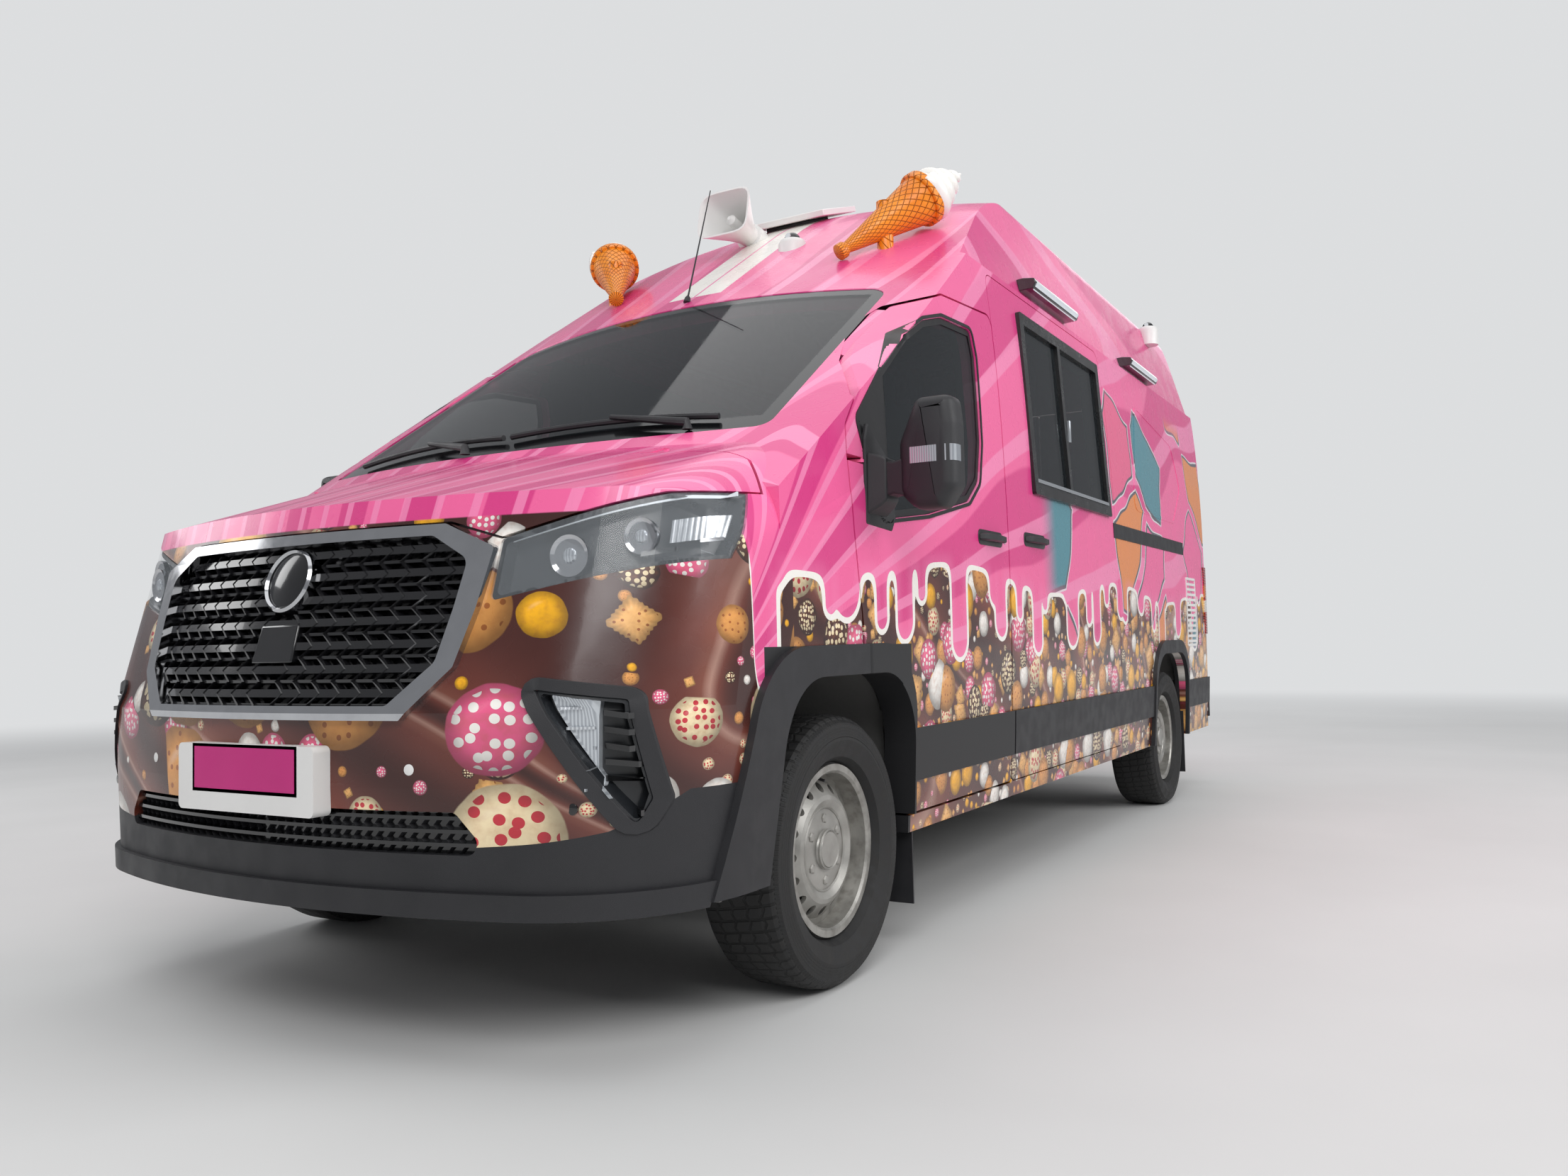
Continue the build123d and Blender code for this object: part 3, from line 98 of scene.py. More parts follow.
class Shader:
    """A node material with short calls for maths, mixing and textures."""

    def __init__(self, name):
        self.material = bpy.data.materials.new(name)
        self.material.use_nodes = True
        self.tree = self.material.node_tree
        self.base = self.tree.nodes["Principled BSDF"]
        self.place = self.node("ShaderNodeTexCoord").outputs["Object"]

    def feed(self, socket, value):
        if isinstance(value, Term):
            value = value.socket
        elif isinstance(value, str):
            value = srgb(value)
        if isinstance(value, bpy.types.NodeSocket):
            self.tree.links.new(value, socket)
            return
        if hasattr(socket.default_value, "__len__") and not hasattr(value, "__len__"):
            value = [value] * len(socket.default_value)
        socket.default_value = value

    def node(self, kind, feeds=(), **settings):
        """New node with its settings, and feeds for its inputs by name or number."""
        made = self.tree.nodes.new(kind)
        for name, value in settings.items():
            setattr(made, name, value)
        for name, value in dict(feeds).items():
            self.feed(made.inputs[name], value)
        return made

    def math(self, operation, *values):
        made = self.node("ShaderNodeMath", enumerate(values), operation=operation)
        return Term(self, made.outputs[0])

    def distance(self, a, b):
        return self.math("SQRT", a ** 2.0 + b ** 2.0)

    def axes(self, vector=None):
        made = self.node("ShaderNodeSeparateXYZ", {0: vector or self.place})
        return [Term(self, out) for out in made.outputs]

    def vector(self, *values):
        made = self.node("ShaderNodeCombineXYZ", enumerate(values))
        return Term(self, made.outputs[0])

    def shift(self, vector, offset, scale=(1, 1, 1)):
        made = self.node("ShaderNodeMapping", {"Vector": vector, "Location": offset, "Scale": scale})
        return Term(self, made.outputs[0])

    def noise(self, scale, detail=2.0, vector=None, out="Fac"):
        feeds = {"Vector": vector or self.place, "Scale": scale, "Detail": detail}
        made = self.node("ShaderNodeTexNoise", feeds)
        return Term(self, made.outputs[out])

    def cells(self, spot, scale, spread, feature="F1"):
        """Random cells on the unrolled surface, as a dictionary of outputs."""
        feeds = {"Vector": spot, "Scale": scale, "Randomness": spread}
        made = self.node("ShaderNodeTexVoronoi", feeds, feature=feature, voronoi_dimensions="2D")
        return {out.name: Term(self, out) for out in made.outputs}

    def step(self, value, low, high, a=0.0, b=1.0):
        """Smooth change from a to b as value goes from low to high."""
        feeds = enumerate((value, low, high, a, b))
        made = self.node("ShaderNodeMapRange", feeds, interpolation_type="SMOOTHSTEP")
        return Term(self, made.outputs[0])

    def uneven(self, scale, detail, low, high):
        """Value that drifts between low and high over the surface."""
        return self.step(self.noise(scale, detail), 0.3, 0.7, low, high)

    def mix(self, amount, a, b, kind="RGBA", way="MIX"):
        feeds = {"Factor": amount, "A": a, "B": b}
        made = self.node("ShaderNodeMix", feeds, data_type=kind, blend_type=way)
        return Term(self, made.outputs["Result"])

    def blend(self, amount, a, b):
        return self.mix(amount, a, b, "FLOAT")

    def ramp(self, value, stops, kind="LINEAR"):
        """Colour for a value, from stops of (place, code) or (place, code, share)."""
        made = self.node("ShaderNodeValToRGB", {0: value})
        made.color_ramp.interpolation = kind
        elements = made.color_ramp.elements
        while len(elements) < len(stops):
            elements.new(0.5)
        for element, (place, *colour) in zip(elements, stops):
            element.position = place
            element.color = srgb(*colour)
        return Term(self, made.outputs[0])

    def bump(self, height, distance):
        made = self.node("ShaderNodeBump", {"Distance": distance, "Height": height})
        self.feed(self.base.inputs["Normal"], made.outputs[0])

    def finish(self, colour, rough, **values):
        """Sets the surface, with underscores for spaces in the names, and returns the material."""
        for name, value in {"Base_Color": colour, "Roughness": rough, **values}.items():
            self.feed(self.base.inputs[name.replace("_", " ")], value)
        return self.material


def grained(name, colour, rough, grain=0.0004, scale=900.0, mottle=0.12, coat=0.0):
    """Plain material with fine grain, uneven tone and uneven gloss."""
    s = Shader(name)
    tone = s.ramp(s.noise(5.0, 4.0), ((0.3, colour, 1 - mottle), (0.7, colour, 1 + mottle)))
    gloss = s.uneven(14.0, 3.0, rough * 0.88, min(1.0, rough * 1.12))
    if grain:
        s.bump(s.noise(scale), grain)
    return s.finish(tone, gloss, Coat_Weight=coat)


# The wrap. Its place is read from the surface point: an unrolled run round the nose and along
# the sides, and the height. Motifs are generic and laid out at random.

PINK = "F3669F"
PINK_DARK = "DB3F86"
PINK_PALE = "F891BD"
BROWN = "5E2E26"
BROWN_DARK = "3A1712"
BROWN_LIGHT = "8B5040"
CREAM = "F1DDB4"
BISCUIT = "DE9A50"
BISCUIT_DARK = "A7602A"
YELLOW = "F8B416"
CANDY_PINK = "E9608C"
COCOA = "45201A"
WHITE = "F5F1EA"
RED = "C22C3A"
TEAL = "4B8794"
GREY = "8B8790"

SWEET_COLOURS = (
    (0.0, BISCUIT), (0.2, YELLOW), (0.34, CANDY_PINK), (0.5, CREAM), (0.62, "ECB36A"),
    (0.78, COCOA), (0.88, WHITE),
)
BLOB_COLOURS = (
    (0.0, PINK), (0.2, TEAL), (0.36, CANDY_PINK), (0.55, PINK_PALE), (0.68, GREY),
    (0.8, "E58B4B"), (0.9, PINK),
)
CHOCOLATE = (
    (0.0, BROWN_DARK), (0.35, BROWN), (0.7, "75392D"), (0.86, BROWN_LIGHT),
    (0.92, "BC9080"), (0.96, "7A4034"), (1.0, BROWN_DARK),
)
# Columns: chance from and to, cells to a motif, colour, reach of a dot
SWEET_DOTS = (
    (0.0, 0.2, 7.0, BISCUIT_DARK, 0.16),
    (0.34, 0.5, 8.0, WHITE, 0.3),
    (0.5, 0.62, 7.0, RED, 0.3),
    (0.62, 0.78, 6.0, BISCUIT_DARK, 0.14),
    (0.78, 0.88, 9.0, CREAM, 0.36),
)
SQUARE_KINDS = (0.62, 0.78)
MOTIF_SPREAD = 0.72
# Columns: cells in a metre, offset, share left out, smallest and largest share of a cell
FRONT_LAYERS = (
    (22.0, (3.1, 0.2, 0.0), 0.8, (0.2, 0.36)),
    (7.6, (1.3, 0.4, 0.0), 0.52, (0.32, 0.45)),
    (3.5, (0.9, 2.45, 0.0), 0.3, (0.34, 0.47)),
)
SIDE_LAYERS = (
    (24.0, (0.3, 0.7, 0.0), 0.4, (0.2, 0.4)),
    (10.0, (1.7, 0.9, 0.0), 0.2, (0.36, 0.48)),
    (6.2, (0.2, 1.1, 0.0), 0.38, (0.38, 0.5)),
)


def motifs(s, ground, spot, scale, low, sizes):
    """The ground with one layer of random round and square sweets on it."""
    cell = s.cells(spot, scale, MOTIF_SPREAD)
    edge = s.cells(spot, scale, MOTIF_SPREAD, "DISTANCE_TO_EDGE")["Distance"]
    chance, turn, seen = s.axes(cell["Color"])
    feeds = {0: spot, 1: cell["Position"]}
    away = s.node("ShaderNodeVectorMath", feeds, operation="SUBTRACT").outputs[0]
    feeds = {"Vector": away, "Angle": turn * 6.28}
    rotated = s.node("ShaderNodeVectorRotate", feeds, rotation_type="Z_AXIS").outputs[0]
    across, up, _ = s.axes(rotated)
    across = across * scale
    up = up * scale
    square = s.math("SMOOTH_MAX", abs(across), abs(up), 0.06)
    crimp = s.math("SINE", s.math("ARCTAN2", up, across) * 22.0) * 0.012
    far = s.blend(chance.between(*SQUARE_KINDS), s.distance(across, up), square * 1.18 + crimp)
    far = far + (s.noise(scale * 2.6, 2.0, spot) - 0.5) * 0.07
    size = s.step(turn, 0.0, 1.0, *sizes)
    share = far / size
    cover = s.step(size - far, 0.0, 0.014) * ((seen > low) * s.step(edge, 0.0, 0.02))
    x, y, _ = s.axes(away)
    lit = (y - x * 0.6) * scale

    colour = s.ramp(chance, SWEET_COLOURS, "CONSTANT")
    toast = s.step(s.noise(scale * 9.0, 3.0, spot), 0.35, 0.8, 0.0, 0.35)
    colour = s.mix(toast, colour, BISCUIT_DARK)
    for first, last, fine, dot_colour, reach in SWEET_DOTS:
        dot = s.cells(spot, scale * fine, 0.6)["Distance"] < reach
        colour = s.mix(dot * (chance.between(first, last) * (share < 0.86)), colour, dot_colour)
    shade = s.step(share, 0.45, 1.0, 1.0, 0.42) * s.step(lit, -0.35, 0.35, 0.72, 1.16)
    colour = s.mix(1.0, colour, shade, way="MULTIPLY")
    shine = s.step(lit, 0.17, 0.3) * s.step(share, 0.35, 0.62, 1.0, 0.0)
    return s.mix(cover, ground, s.mix(shine * 0.55, colour, WHITE))


def drips(s, run, top, z, span, shift, widths, lengths):
    """Distance below a row of hanging drips, one random drip in each span."""
    place = run / span + shift
    feeds = {"W": s.math("FLOOR", place)}
    random = s.node("ShaderNodeTexWhiteNoise", feeds, noise_dimensions="1D").outputs["Color"]
    chance, other, _ = s.axes(random)
    centre = (other - 0.5) * 0.2 + 0.5
    local = (s.math("FRACT", place) - centre) * span
    tip = top - s.step(chance, 0.0, 1.0, *lengths)
    rise = s.math("MAXIMUM", tip - z, 0.0)
    return s.distance(local, rise) - s.step(other, 0.0, 1.0, *widths)


def wrap_paint():
    s = Shader("printed_wrap")
    x, y, z = s.axes()
    side = abs(x)
    back = y - FRONT_AXLE_Y
    round_nose = abs(s.math("ARCTAN2", x, back * -1.0))
    tail = (y > 2.86) * (1.0 - side)
    far_run = s.blend(back < 0.0, back + math.pi / 2 + tail, round_nose)
    run = far_run * s.math("SIGN", x)
    spot = s.vector(run, z, 0.0)

    # Pink with rays
    side_angle = s.math("ARCTAN2", z - 0.75, y + 2.6)
    top_angle = s.math("ARCTAN2", x, y + 4.1)
    angle = s.blend(s.step(side, 0.80, 0.96), top_angle * 44.0, side_angle * 21.0)
    waver = s.noise(0.8, 1.5) * 4.0
    rays = s.math("SINE", angle + waver)
    pink = s.mix(s.step(rays, 0.1, 0.24), PINK, PINK_DARK)
    thin = s.math("SINE", angle * 2.3 + waver)
    pink = s.mix(s.step(thin, 0.72, 0.8) * 0.7, pink, PINK_PALE)

    # White band down the middle of the roof and soft blobs on the rear sides
    on_roof = (z > 2.17) * (side < 0.13)
    band = on_roof * (abs(0.13 - side - 0.07) < 0.055)
    pink = s.mix(band * (y < -0.2), pink, WHITE)
    warped = s.mix(0.13, spot, s.noise(2.6, 1.0, out="Color"), "VECTOR")
    kind, plain, _ = s.axes(s.cells(warped, 2.1, 0.8)["Color"])
    gap = s.cells(warped, 2.1, 0.8, "DISTANCE_TO_EDGE")["Distance"] - (plain < 0.3) * 1.0
    patch = s.mix(s.step(gap, 0.085, 0.095), "55545E", s.ramp(kind, BLOB_COLOURS, "CONSTANT"))
    patch = s.mix(gap < 0.064, patch, "E3DCE0")
    patch = s.mix(gap < 0.05, patch, pink)
    area = (y > -0.32) * s.step(z, 2.0, 2.14, 1.0, 0.0) * (side > 0.86)
    pink = s.mix(area * s.step(y, -0.32, -0.1), pink, patch)

    # Chocolate with glossy folds, and sweets on it
    feeds = {
        "Vector": s.shift(spot, (0.4, 0.1, 0.0), (1.0, 1.3, 1.0)),
        "Scale": 0.75, "Distortion": 10.0, "Detail": 1.0, "Detail Scale": 1.0,
    }
    fold = s.node("ShaderNodeTexWave", feeds, wave_type="BANDS", bands_direction="DIAGONAL")
    chocolate = s.ramp(fold.outputs["Fac"], CHOCOLATE)
    deep = s.step(s.noise(3.0, 2.0, spot), 0.35, 0.6)
    front = beside = s.mix(deep * 0.45, chocolate, BROWN_DARK)
    for scale, offset, low, sizes in FRONT_LAYERS:
        front = motifs(s, front, s.shift(spot, offset), scale, low, sizes)
    for scale, offset, low, sizes in SIDE_LAYERS:
        beside = motifs(s, beside, s.shift(spot, offset), scale, low, sizes)
    sweets = s.mix(back > -0.28, front, beside)

    # Dripping edge between the two, with a white line from the fenders rearwards
    top = s.math("SINE", run * 3.3) * 0.035 + 1.10
    wide = drips(s, run, top, z, 0.40, 0.62, (0.048, 0.08), (0.04, 0.24))
    narrow = drips(s, run, top, z, 0.29, 0.35, (0.026, 0.046), (0.0, 0.13))
    edge = s.math("SMOOTH_MIN", s.math("SMOOTH_MIN", wide, narrow, 0.04), top - z, 0.09)
    edge = s.blend(s.step(far_run, 1.08, 1.16), 1.19 - z, edge)
    colour = s.mix(s.step(edge, -0.002, 0.002), pink, sweets)
    behind = far_run > 1.13
    colour = s.mix((abs(edge - 0.004) < 0.008) * behind, colour, WHITE)
    pillow = s.step(edge, -0.05, 0.0) * behind
    colour = s.mix(pillow * (edge < -0.004) * 0.25, colour, PINK_PALE)

    # Inner faces, behind the outer skin and round the front arches
    depth = s.step(z, 1.2, 2.24, 1.003, 0.945) - side
    inner = (depth > 0.034) * (z < s.step(y, -1.2, -0.9, 1.12, 2.12))
    low_skin = s.step(z, 0.34, 0.86, 0.978, 0.998)
    inner = s.math("MAXIMUM", inner, (y < -1.46) * (z < 0.93) * (side < low_skin))
    inner = s.math("MAXIMUM", inner, (y < -1.534) * (z < 0.885) * (side > 0.7))
    inner = inner * y.between(-2.36, 2.78)

    # Black band low on the doors, in line with the body's trim
    strip = z.between(0.487, 0.640) * y.between(-1.85, -0.672)
    flare = (side > 1.0135) * (z < 0.9)
    black = s.math("MAXIMUM", s.math("MAXIMUM", strip, flare), inner)
    colour = s.mix(black, colour, "1E1E20")
    s.bump(s.noise(220.0), 0.00008)
    rough = s.blend(black, s.uneven(9.0, 3.0, 0.24, 0.32), 0.5)
    return s.finish(colour, rough, Coat_Weight=s.step(black, 0.0, 1.0, 0.3, 0.0), Coat_Roughness=0.1)


# Shapes. Lengths in the tables below are millimetres in the front axle's frame, as in the CAD:
# Y runs rearwards from the axle, and mm() turns them into metres in the scene.

SHARP = math.radians(34)
WELD = 0.00002
# Body of the pieces on a front door; both_sides() puts left or right for SIDE
DOOR = "front_door_SIDE"
LEFT = Vector((1, 0, 0))
BACK = Vector((0, 1, 0))
UP = Vector((0, 0, 1))
# For each view of a surface: the way out of it, and which of (a, b, far) are x, y and z
VIEWS = {
    "front": (-BACK, lambda a, b: (a, -3000, b)),
    "rear": (BACK, lambda a, b: (a, 7000, b)),
    "side": (LEFT, lambda a, b: (3000, a, b)),
    "top": (UP, lambda a, b: (a, b, 5000)),
}


def mm(x, y, z):
    return Vector((x, y + 1000 * FRONT_AXLE_Y, z)) / 1000


def piece(name, shape, look, body="van", edge=0):
    """Piece of a look, riding on a body, with its edges rounded by so many millimetres."""
    mesh = bpy.data.meshes.new(name)
    mesh.from_pydata([tuple(p) for p in shape[0]], [], shape[1])
    clean = bmesh.new()
    clean.from_mesh(mesh)
    bmesh.ops.remove_doubles(clean, verts=clean.verts, dist=WELD)
    bmesh.ops.recalc_face_normals(clean, faces=clean.faces)
    for face in clean.faces:
        face.smooth = True
    for line in clean.edges:
        if len(line.link_faces) != 2 or line.calc_face_angle() > SHARP:
            line.smooth = False
    clean.to_mesh(mesh)
    clean.free()
    made = bpy.data.objects.new(name, mesh)
    bpy.context.collection.objects.link(made)
    material, slot, _ = LOOKS[look]
    mesh.materials.append(material)
    if edge:
        bevel = made.modifiers.new("edge", "BEVEL")
        bevel.width = edge / 1000
        bevel.segments = 3
        bevel.limit_method = "ANGLE"
    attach(made, body)
    return made


def both_sides(name, shape, look, body="van", edge=0):
    """The piece on the left and its mirror image on the right."""
    made = []
    for hand, side in ((1, "left"), (-1, "right")):
        points = [Vector((p[0] * hand, p[1], p[2])) for p in shape[0]]
        made.append(piece(name + "_" + side, (points, shape[1]), look, body.replace("SIDE", side), edge))
    return made


def join(shapes):
    points, faces = [], []
    for more_points, more_faces in shapes:
        start = len(points)
        points += more_points
        faces += [[start + i for i in face] for face in more_faces]
    return points, faces


def loops(rows, caps=True):
    """Skin through rows of as many points each, with flat ends."""
    count = len(rows[0])
    points = [p for row in rows for p in row]
    faces = []
    for r in range(len(rows) - 1):
        for i in range(count):
            j = (i + 1) % count
            faces.append([r * count + i, r * count + j, (r + 1) * count + j, (r + 1) * count + i])
    if caps:
        faces.append(list(range(count))[::-1])
        faces.append([(len(rows) - 1) * count + i for i in range(count)])
    return points, faces


def block(x, y, z):
    corners = ((x[0], y[0]), (x[1], y[0]), (x[1], y[1]), (x[0], y[1]))
    return loops([[mm(a, b, c) for a, b in corners] for c in z])


def circle(centre, aside, over, radius, sides):
    ring = [2 * math.pi * k / sides for k in range(sides)]
    return [centre + radius / 1000 * (math.cos(a) * aside + math.sin(a) * over) for a in ring]


def tube(path, radius, sides=12):
    """Round bar along a path of points; the radius is in millimetres and may be a list."""
    rows = []
    for i, here in enumerate(path):
        along = (path[min(i + 1, len(path) - 1)] - path[max(i - 1, 0)]).normalized()
        aside = along.cross(Vector((0.31, 0.11, 0.94))).normalized()
        r = radius[i] if hasattr(radius, "__len__") else radius
        rows.append(circle(here, aside, along.cross(aside), r, sides))
    return loops(rows)


def turned(centre, axis, profile, sides=40):
    """Turned shape: profile rows are (radius, distance along the axis), in millimetres."""
    axis = axis.normalized()
    aside = axis.orthogonal().normalized()
    over = axis.cross(aside)
    rows = [circle(centre + axis * far / 1000, aside, over, max(r, 0.1), sides) for r, far in profile]
    return loops(rows)


def rounded(corners, longest=45.0, steps=6):
    """Closed outline with rounded corners (a, b, radius), in steps no longer than asked."""
    made = []
    for i, (a, b, radius) in enumerate(corners):
        here = Vector((a, b))
        back = Vector(corners[i - 1][:2]) - here
        on = Vector(corners[(i + 1) % len(corners)][:2]) - here
        reach = min(radius / math.tan(back.angle(on) / 2), 0.48 * back.length, 0.48 * on.length)
        first, last = here + back.normalized() * reach, here + on.normalized() * reach
        for k in range(steps + 1):
            t = k / steps
            made.append((1 - t) ** 2 * first + 2 * t * (1 - t) * here + t * t * last)
    return dense(made, longest)


def dense(line, longest, closed=True):
    made = []
    for i, here in enumerate(line):
        made.append(here)
        if i == len(line) - 1 and not closed:
            break
        on = line[(i + 1) % len(line)]
        parts = max(1, math.ceil((on - here).length / longest))
        made += [here.lerp(on, k / parts) for k in range(1, parts)]
    return made


def moved_out(line, width):
    """Closed outline moved outwards by width, inwards if it is less than nothing."""
    area = sum(a.x * b.y - b.x * a.y for a, b in zip(line, line[1:] + line[:1]))
    hand = 1 if area > 0 else -1
    made = []
    for i, here in enumerate(line):
        along = (line[(i + 1) % len(line)] - line[i - 1]).normalized()
        made.append(here + Vector((along.y, -along.x)) * width * hand)
    return made


def slices(line, places, axis="x"):
    """Rows of one outline at several places: (place along the axis, width moved out)."""
    rows = []
    for at, width in places:
        points = moved_out(line, width)
        rows.append([mm(at, p.x, p.y) if axis == "x" else mm(p.x, at, p.y) for p in points])
    return loops(rows)


class Skin:
    """Surface of some CAD nodes, found by rays from one view."""

    LONGEST_JUMP = 0.12

    def __init__(self, view, *names):
        shapes = []
        for name in names:
            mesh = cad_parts[name].data
            points = [v.co.copy() for v in mesh.vertices]
            shapes.append((points, [list(p.vertices) for p in mesh.polygons]))
        self.tree = BVHTree.FromPolygons(*join(shapes))
        self.out, self.start = VIEWS[view]
        self.last = None

    def at(self, a, b):
        """Point at (x, z) from either end, (y, z) from the side or (x, y) from above."""
        start = mm(*self.start(a, b))
        found = self.tree.ray_cast(start, -self.out)[0]
        far = (found - start).length if found else None
        if self.last and (far is None or abs(far - self.last) > self.LONGEST_JUMP):
            return start - self.out * self.last
        self.last = far
        return found

    def row(self, p, q, proud, sink):
        out, back = self.out * proud / 1000, self.out * sink / 1000
        return [p + out, q + out, q - back, p - back]

    def ring(self, line, inner, outer, proud, sink):
        """Closed band along an outline, standing proud of the surface and sunk into it."""
        rows = []
        for a, b in zip(moved_out(line, inner), moved_out(line, outer)):
            q, p = self.at(*b), self.at(*a)
            rows.append(self.row(p, q, proud, sink))
        return loops(rows + rows[:1], caps=False)

    def strip(self, left, right, proud, sink):
        """Open band between two lines."""
        return loops([self.row(self.at(*a), self.at(*b), proud, sink) for a, b in zip(left, right)])

    def patch(self, line, proud):
        """Plate with the outline, following the surface at its rim."""
        base = [self.at(*a) for a in line]
        return loops([base, [p + self.out * proud / 1000 for p in base]])


BOW_R = 2400.0
# Columns: z, y of the nose on the middle line
NOSE_LINE = ((330.0, -1004.0), (600.0, -1012.0), (760.0, -1012.0), (1133.0, -901.0), (1560.0, -784.0))
NOSE_LEAN = math.atan2(112.0, 373.0)
GRILLE_HOLE = ((428, 1150, 30), (530, 1092, 30), (520, 985, 60), (502, 868, 30), (402, 776, 20))
GRILLE_LOW = 776
GRILLE_HIGH = 1150
GRILLE_ROWS = 14
INTAKE_HOLE = ((560, 552, 25), (640, 462, 25))
FIN_STEP = 9.0
BADGE_Z = 1066.0
BADGE_R = 82.0


def nose_y(x, z):
    """Front surface of the nose near its middle, in the axle's frame."""
    for (z0, y0), (z1, y1) in zip(NOSE_LINE, NOSE_LINE[1:]):
        if z <= z1:
            break
    return y0 + (y1 - y0) * (z - z0) / (z1 - z0) + BOW_R - math.sqrt(BOW_R ** 2 - x * x)


def inside(point, line):
    hit = False
    for a, b in zip(line, line[1:] + line[:1]):
        spans = (a.y > point.y) != (b.y > point.y)
        if spans and point.x < a.x + (point.y - a.y) * (b.x - a.x) / (b.y - a.y):
            hit = not hit
    return hit


def runs(line, hole, least):
    """Parts of a line within a hole and clear of the badge, of at least so many points each."""
    found, run = [], []
    for p in line + [None]:
        if p is not None and inside(p, hole) and math.hypot(p.x, p.y - BADGE_Z) > BADGE_R:
            run.append(p)
            continue
        if len(run) >= least:
            found.append(run)
        run = []
    return found


def doubled(corners):
    return list(corners) + [(-a, b, r) for a, b, r in reversed(corners)]


def woven(hole, foot, top, turns, pitch, reach, half, front, back, columns):
    """Upright fins bent to and fro, kept inside an opening."""
    shapes = []
    rise = (top - foot) / turns
    for column in range(columns):
        for hand in (1, -1):
            x0 = hand * pitch * (column + 0.5)
            line = [
                Vector((x0 + hand * reach * (turn % 2), foot + rise * turn)) for turn in range(turns + 1)
            ]
            for run in runs(dense(line, FIN_STEP, closed=False), hole, 3):
                rows = []
                for q in run:
                    y = nose_y(q.x, q.y)
                    edges = ((-half, front + 6), (0, front), (half, front + 6), (half, back), (-half, back))
                    rows.append([mm(q.x + a, y + b, q.y) for a, b in edges])
                shapes.append(loops(rows))
    return join(shapes)


def grille():
    hole = rounded(doubled(GRILLE_HOLE))
    fins = woven(hole, GRILLE_LOW, GRILLE_HIGH, GRILLE_ROWS, 60, 34, 5.0, 6, 30, 9)
    piece("grille_fins", fins, "gloss")
    bars = []
    for row in range(GRILLE_ROWS + 1):
        z = GRILLE_LOW + (GRILLE_HIGH - GRILLE_LOW) * row / GRILLE_ROWS
        for run in runs([Vector((x, z)) for x in range(-560, 561, 14)], hole, 2):
            edges = ((14, -3.5), (14, 3.5), (32, 3.5), (32, -3.5))
            bars.append(loops([[mm(q.x, nose_y(q.x, z) + a, z + b) for a, b in edges] for q in run]))
    piece("grille_bars", join(bars), "gloss")

    out = Vector((0, -math.cos(NOSE_LEAN), math.sin(NOSE_LEAN)))
    centre = mm(0, nose_y(0, BADGE_Z), BADGE_Z)
    ring = ((69, -20), (69, 4), (74, 10), (80, 4), (82, -20), (69, -20))
    piece("badge_ring", turned(centre, out, ring, 64), "chrome")
    disc = ((0, -30), (70, -30), (70, -1), (62, 3), (0, 6))
    piece("badge_blank", turned(centre, out, disc, 64), "gloss")
    corners = ((-72, 872), (72, 872), (66, 960), (-66, 960))
    cover = [[mm(a, nose_y(a, b) + far, b) for a, b in corners] for far in (4, 36)]
    piece("grille_sensor_cover", loops(cover), "gloss", edge=4)
    low = woven(rounded(doubled(INTAKE_HOLE)), 462, 552, 6, 30, 13, 2.5, 16, 30, 20)
    piece("intake_mesh", low, "black")


def front_sensors():
    skin = Skin("front", "front_bumper", "bumper_skirt")
    button = ((12, -6), (12, 1), (10, 2), (0, 2))
    for x, z, look in ((452, 640, "white"), (806, 560, "gloss")):
        spot = skin.at(x, z)
        both_sides("parking_sensor_%d" % x, turned(spot, Vector((0.25, -1, 0)), button, 24), look)


def number_plate():
    """Blank front plate on its white plinth."""
    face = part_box("plate_holder")[0].y
    # Columns: name, half width, z from and to, distance behind the plinth's face from and to, look
    for name, half, low, high, near, far, look in (
        ("plate_rim", 186, 578, 690, 6, 0, "white"), ("plate_blank", 178, 586, 682, 3, -0.8, "plate"),
    ):
        corners = ((-half, low), (half, low), (half, high), (-half, high))
        depths = (face + near / 1000, face + far / 1000)
        rows = [[Vector((a / 1000, y, b / 1000)) for a, b in corners] for y in depths]
        piece(name, loops(rows), look)


# Columns: x, z, radius
LAMP_ROUNDS = ((742, 1092, 46), (872, 1132, 40))
# Columns: name, x from and to, share of the height from and to, depth, look
LAMP_BANDS = (
    ("day_strip", 612, 985, 0.9, 0.96, 8, "led"), ("low_strip", 604, 960, 0.04, 0.16, 8, "silver"),
    ("white_block", 606, 676, 0.24, 0.86, 14, "silver"), ("fin", 686, 697, 0.1, 0.95, 10, "gloss"),
    ("post", 801, 812, 0.1, 0.95, 10, "chrome"), ("shelf", 697, 930, 0.17, 0.24, 8, "gloss"),
    ("wing", 918, 985, 0.3, 0.62, 12, "silver"), ("blade", 812, 985, 0.26, 0.31, 7, "chrome"),
)


def lamp_line(x, share):
    """Height in the headlamp at x, from its lower edge to its upper one."""
    low = 997 + 0.216 * (x - 590)
    high = 1135 + 0.286 * (x - 590)
    return low + (high - low) * share


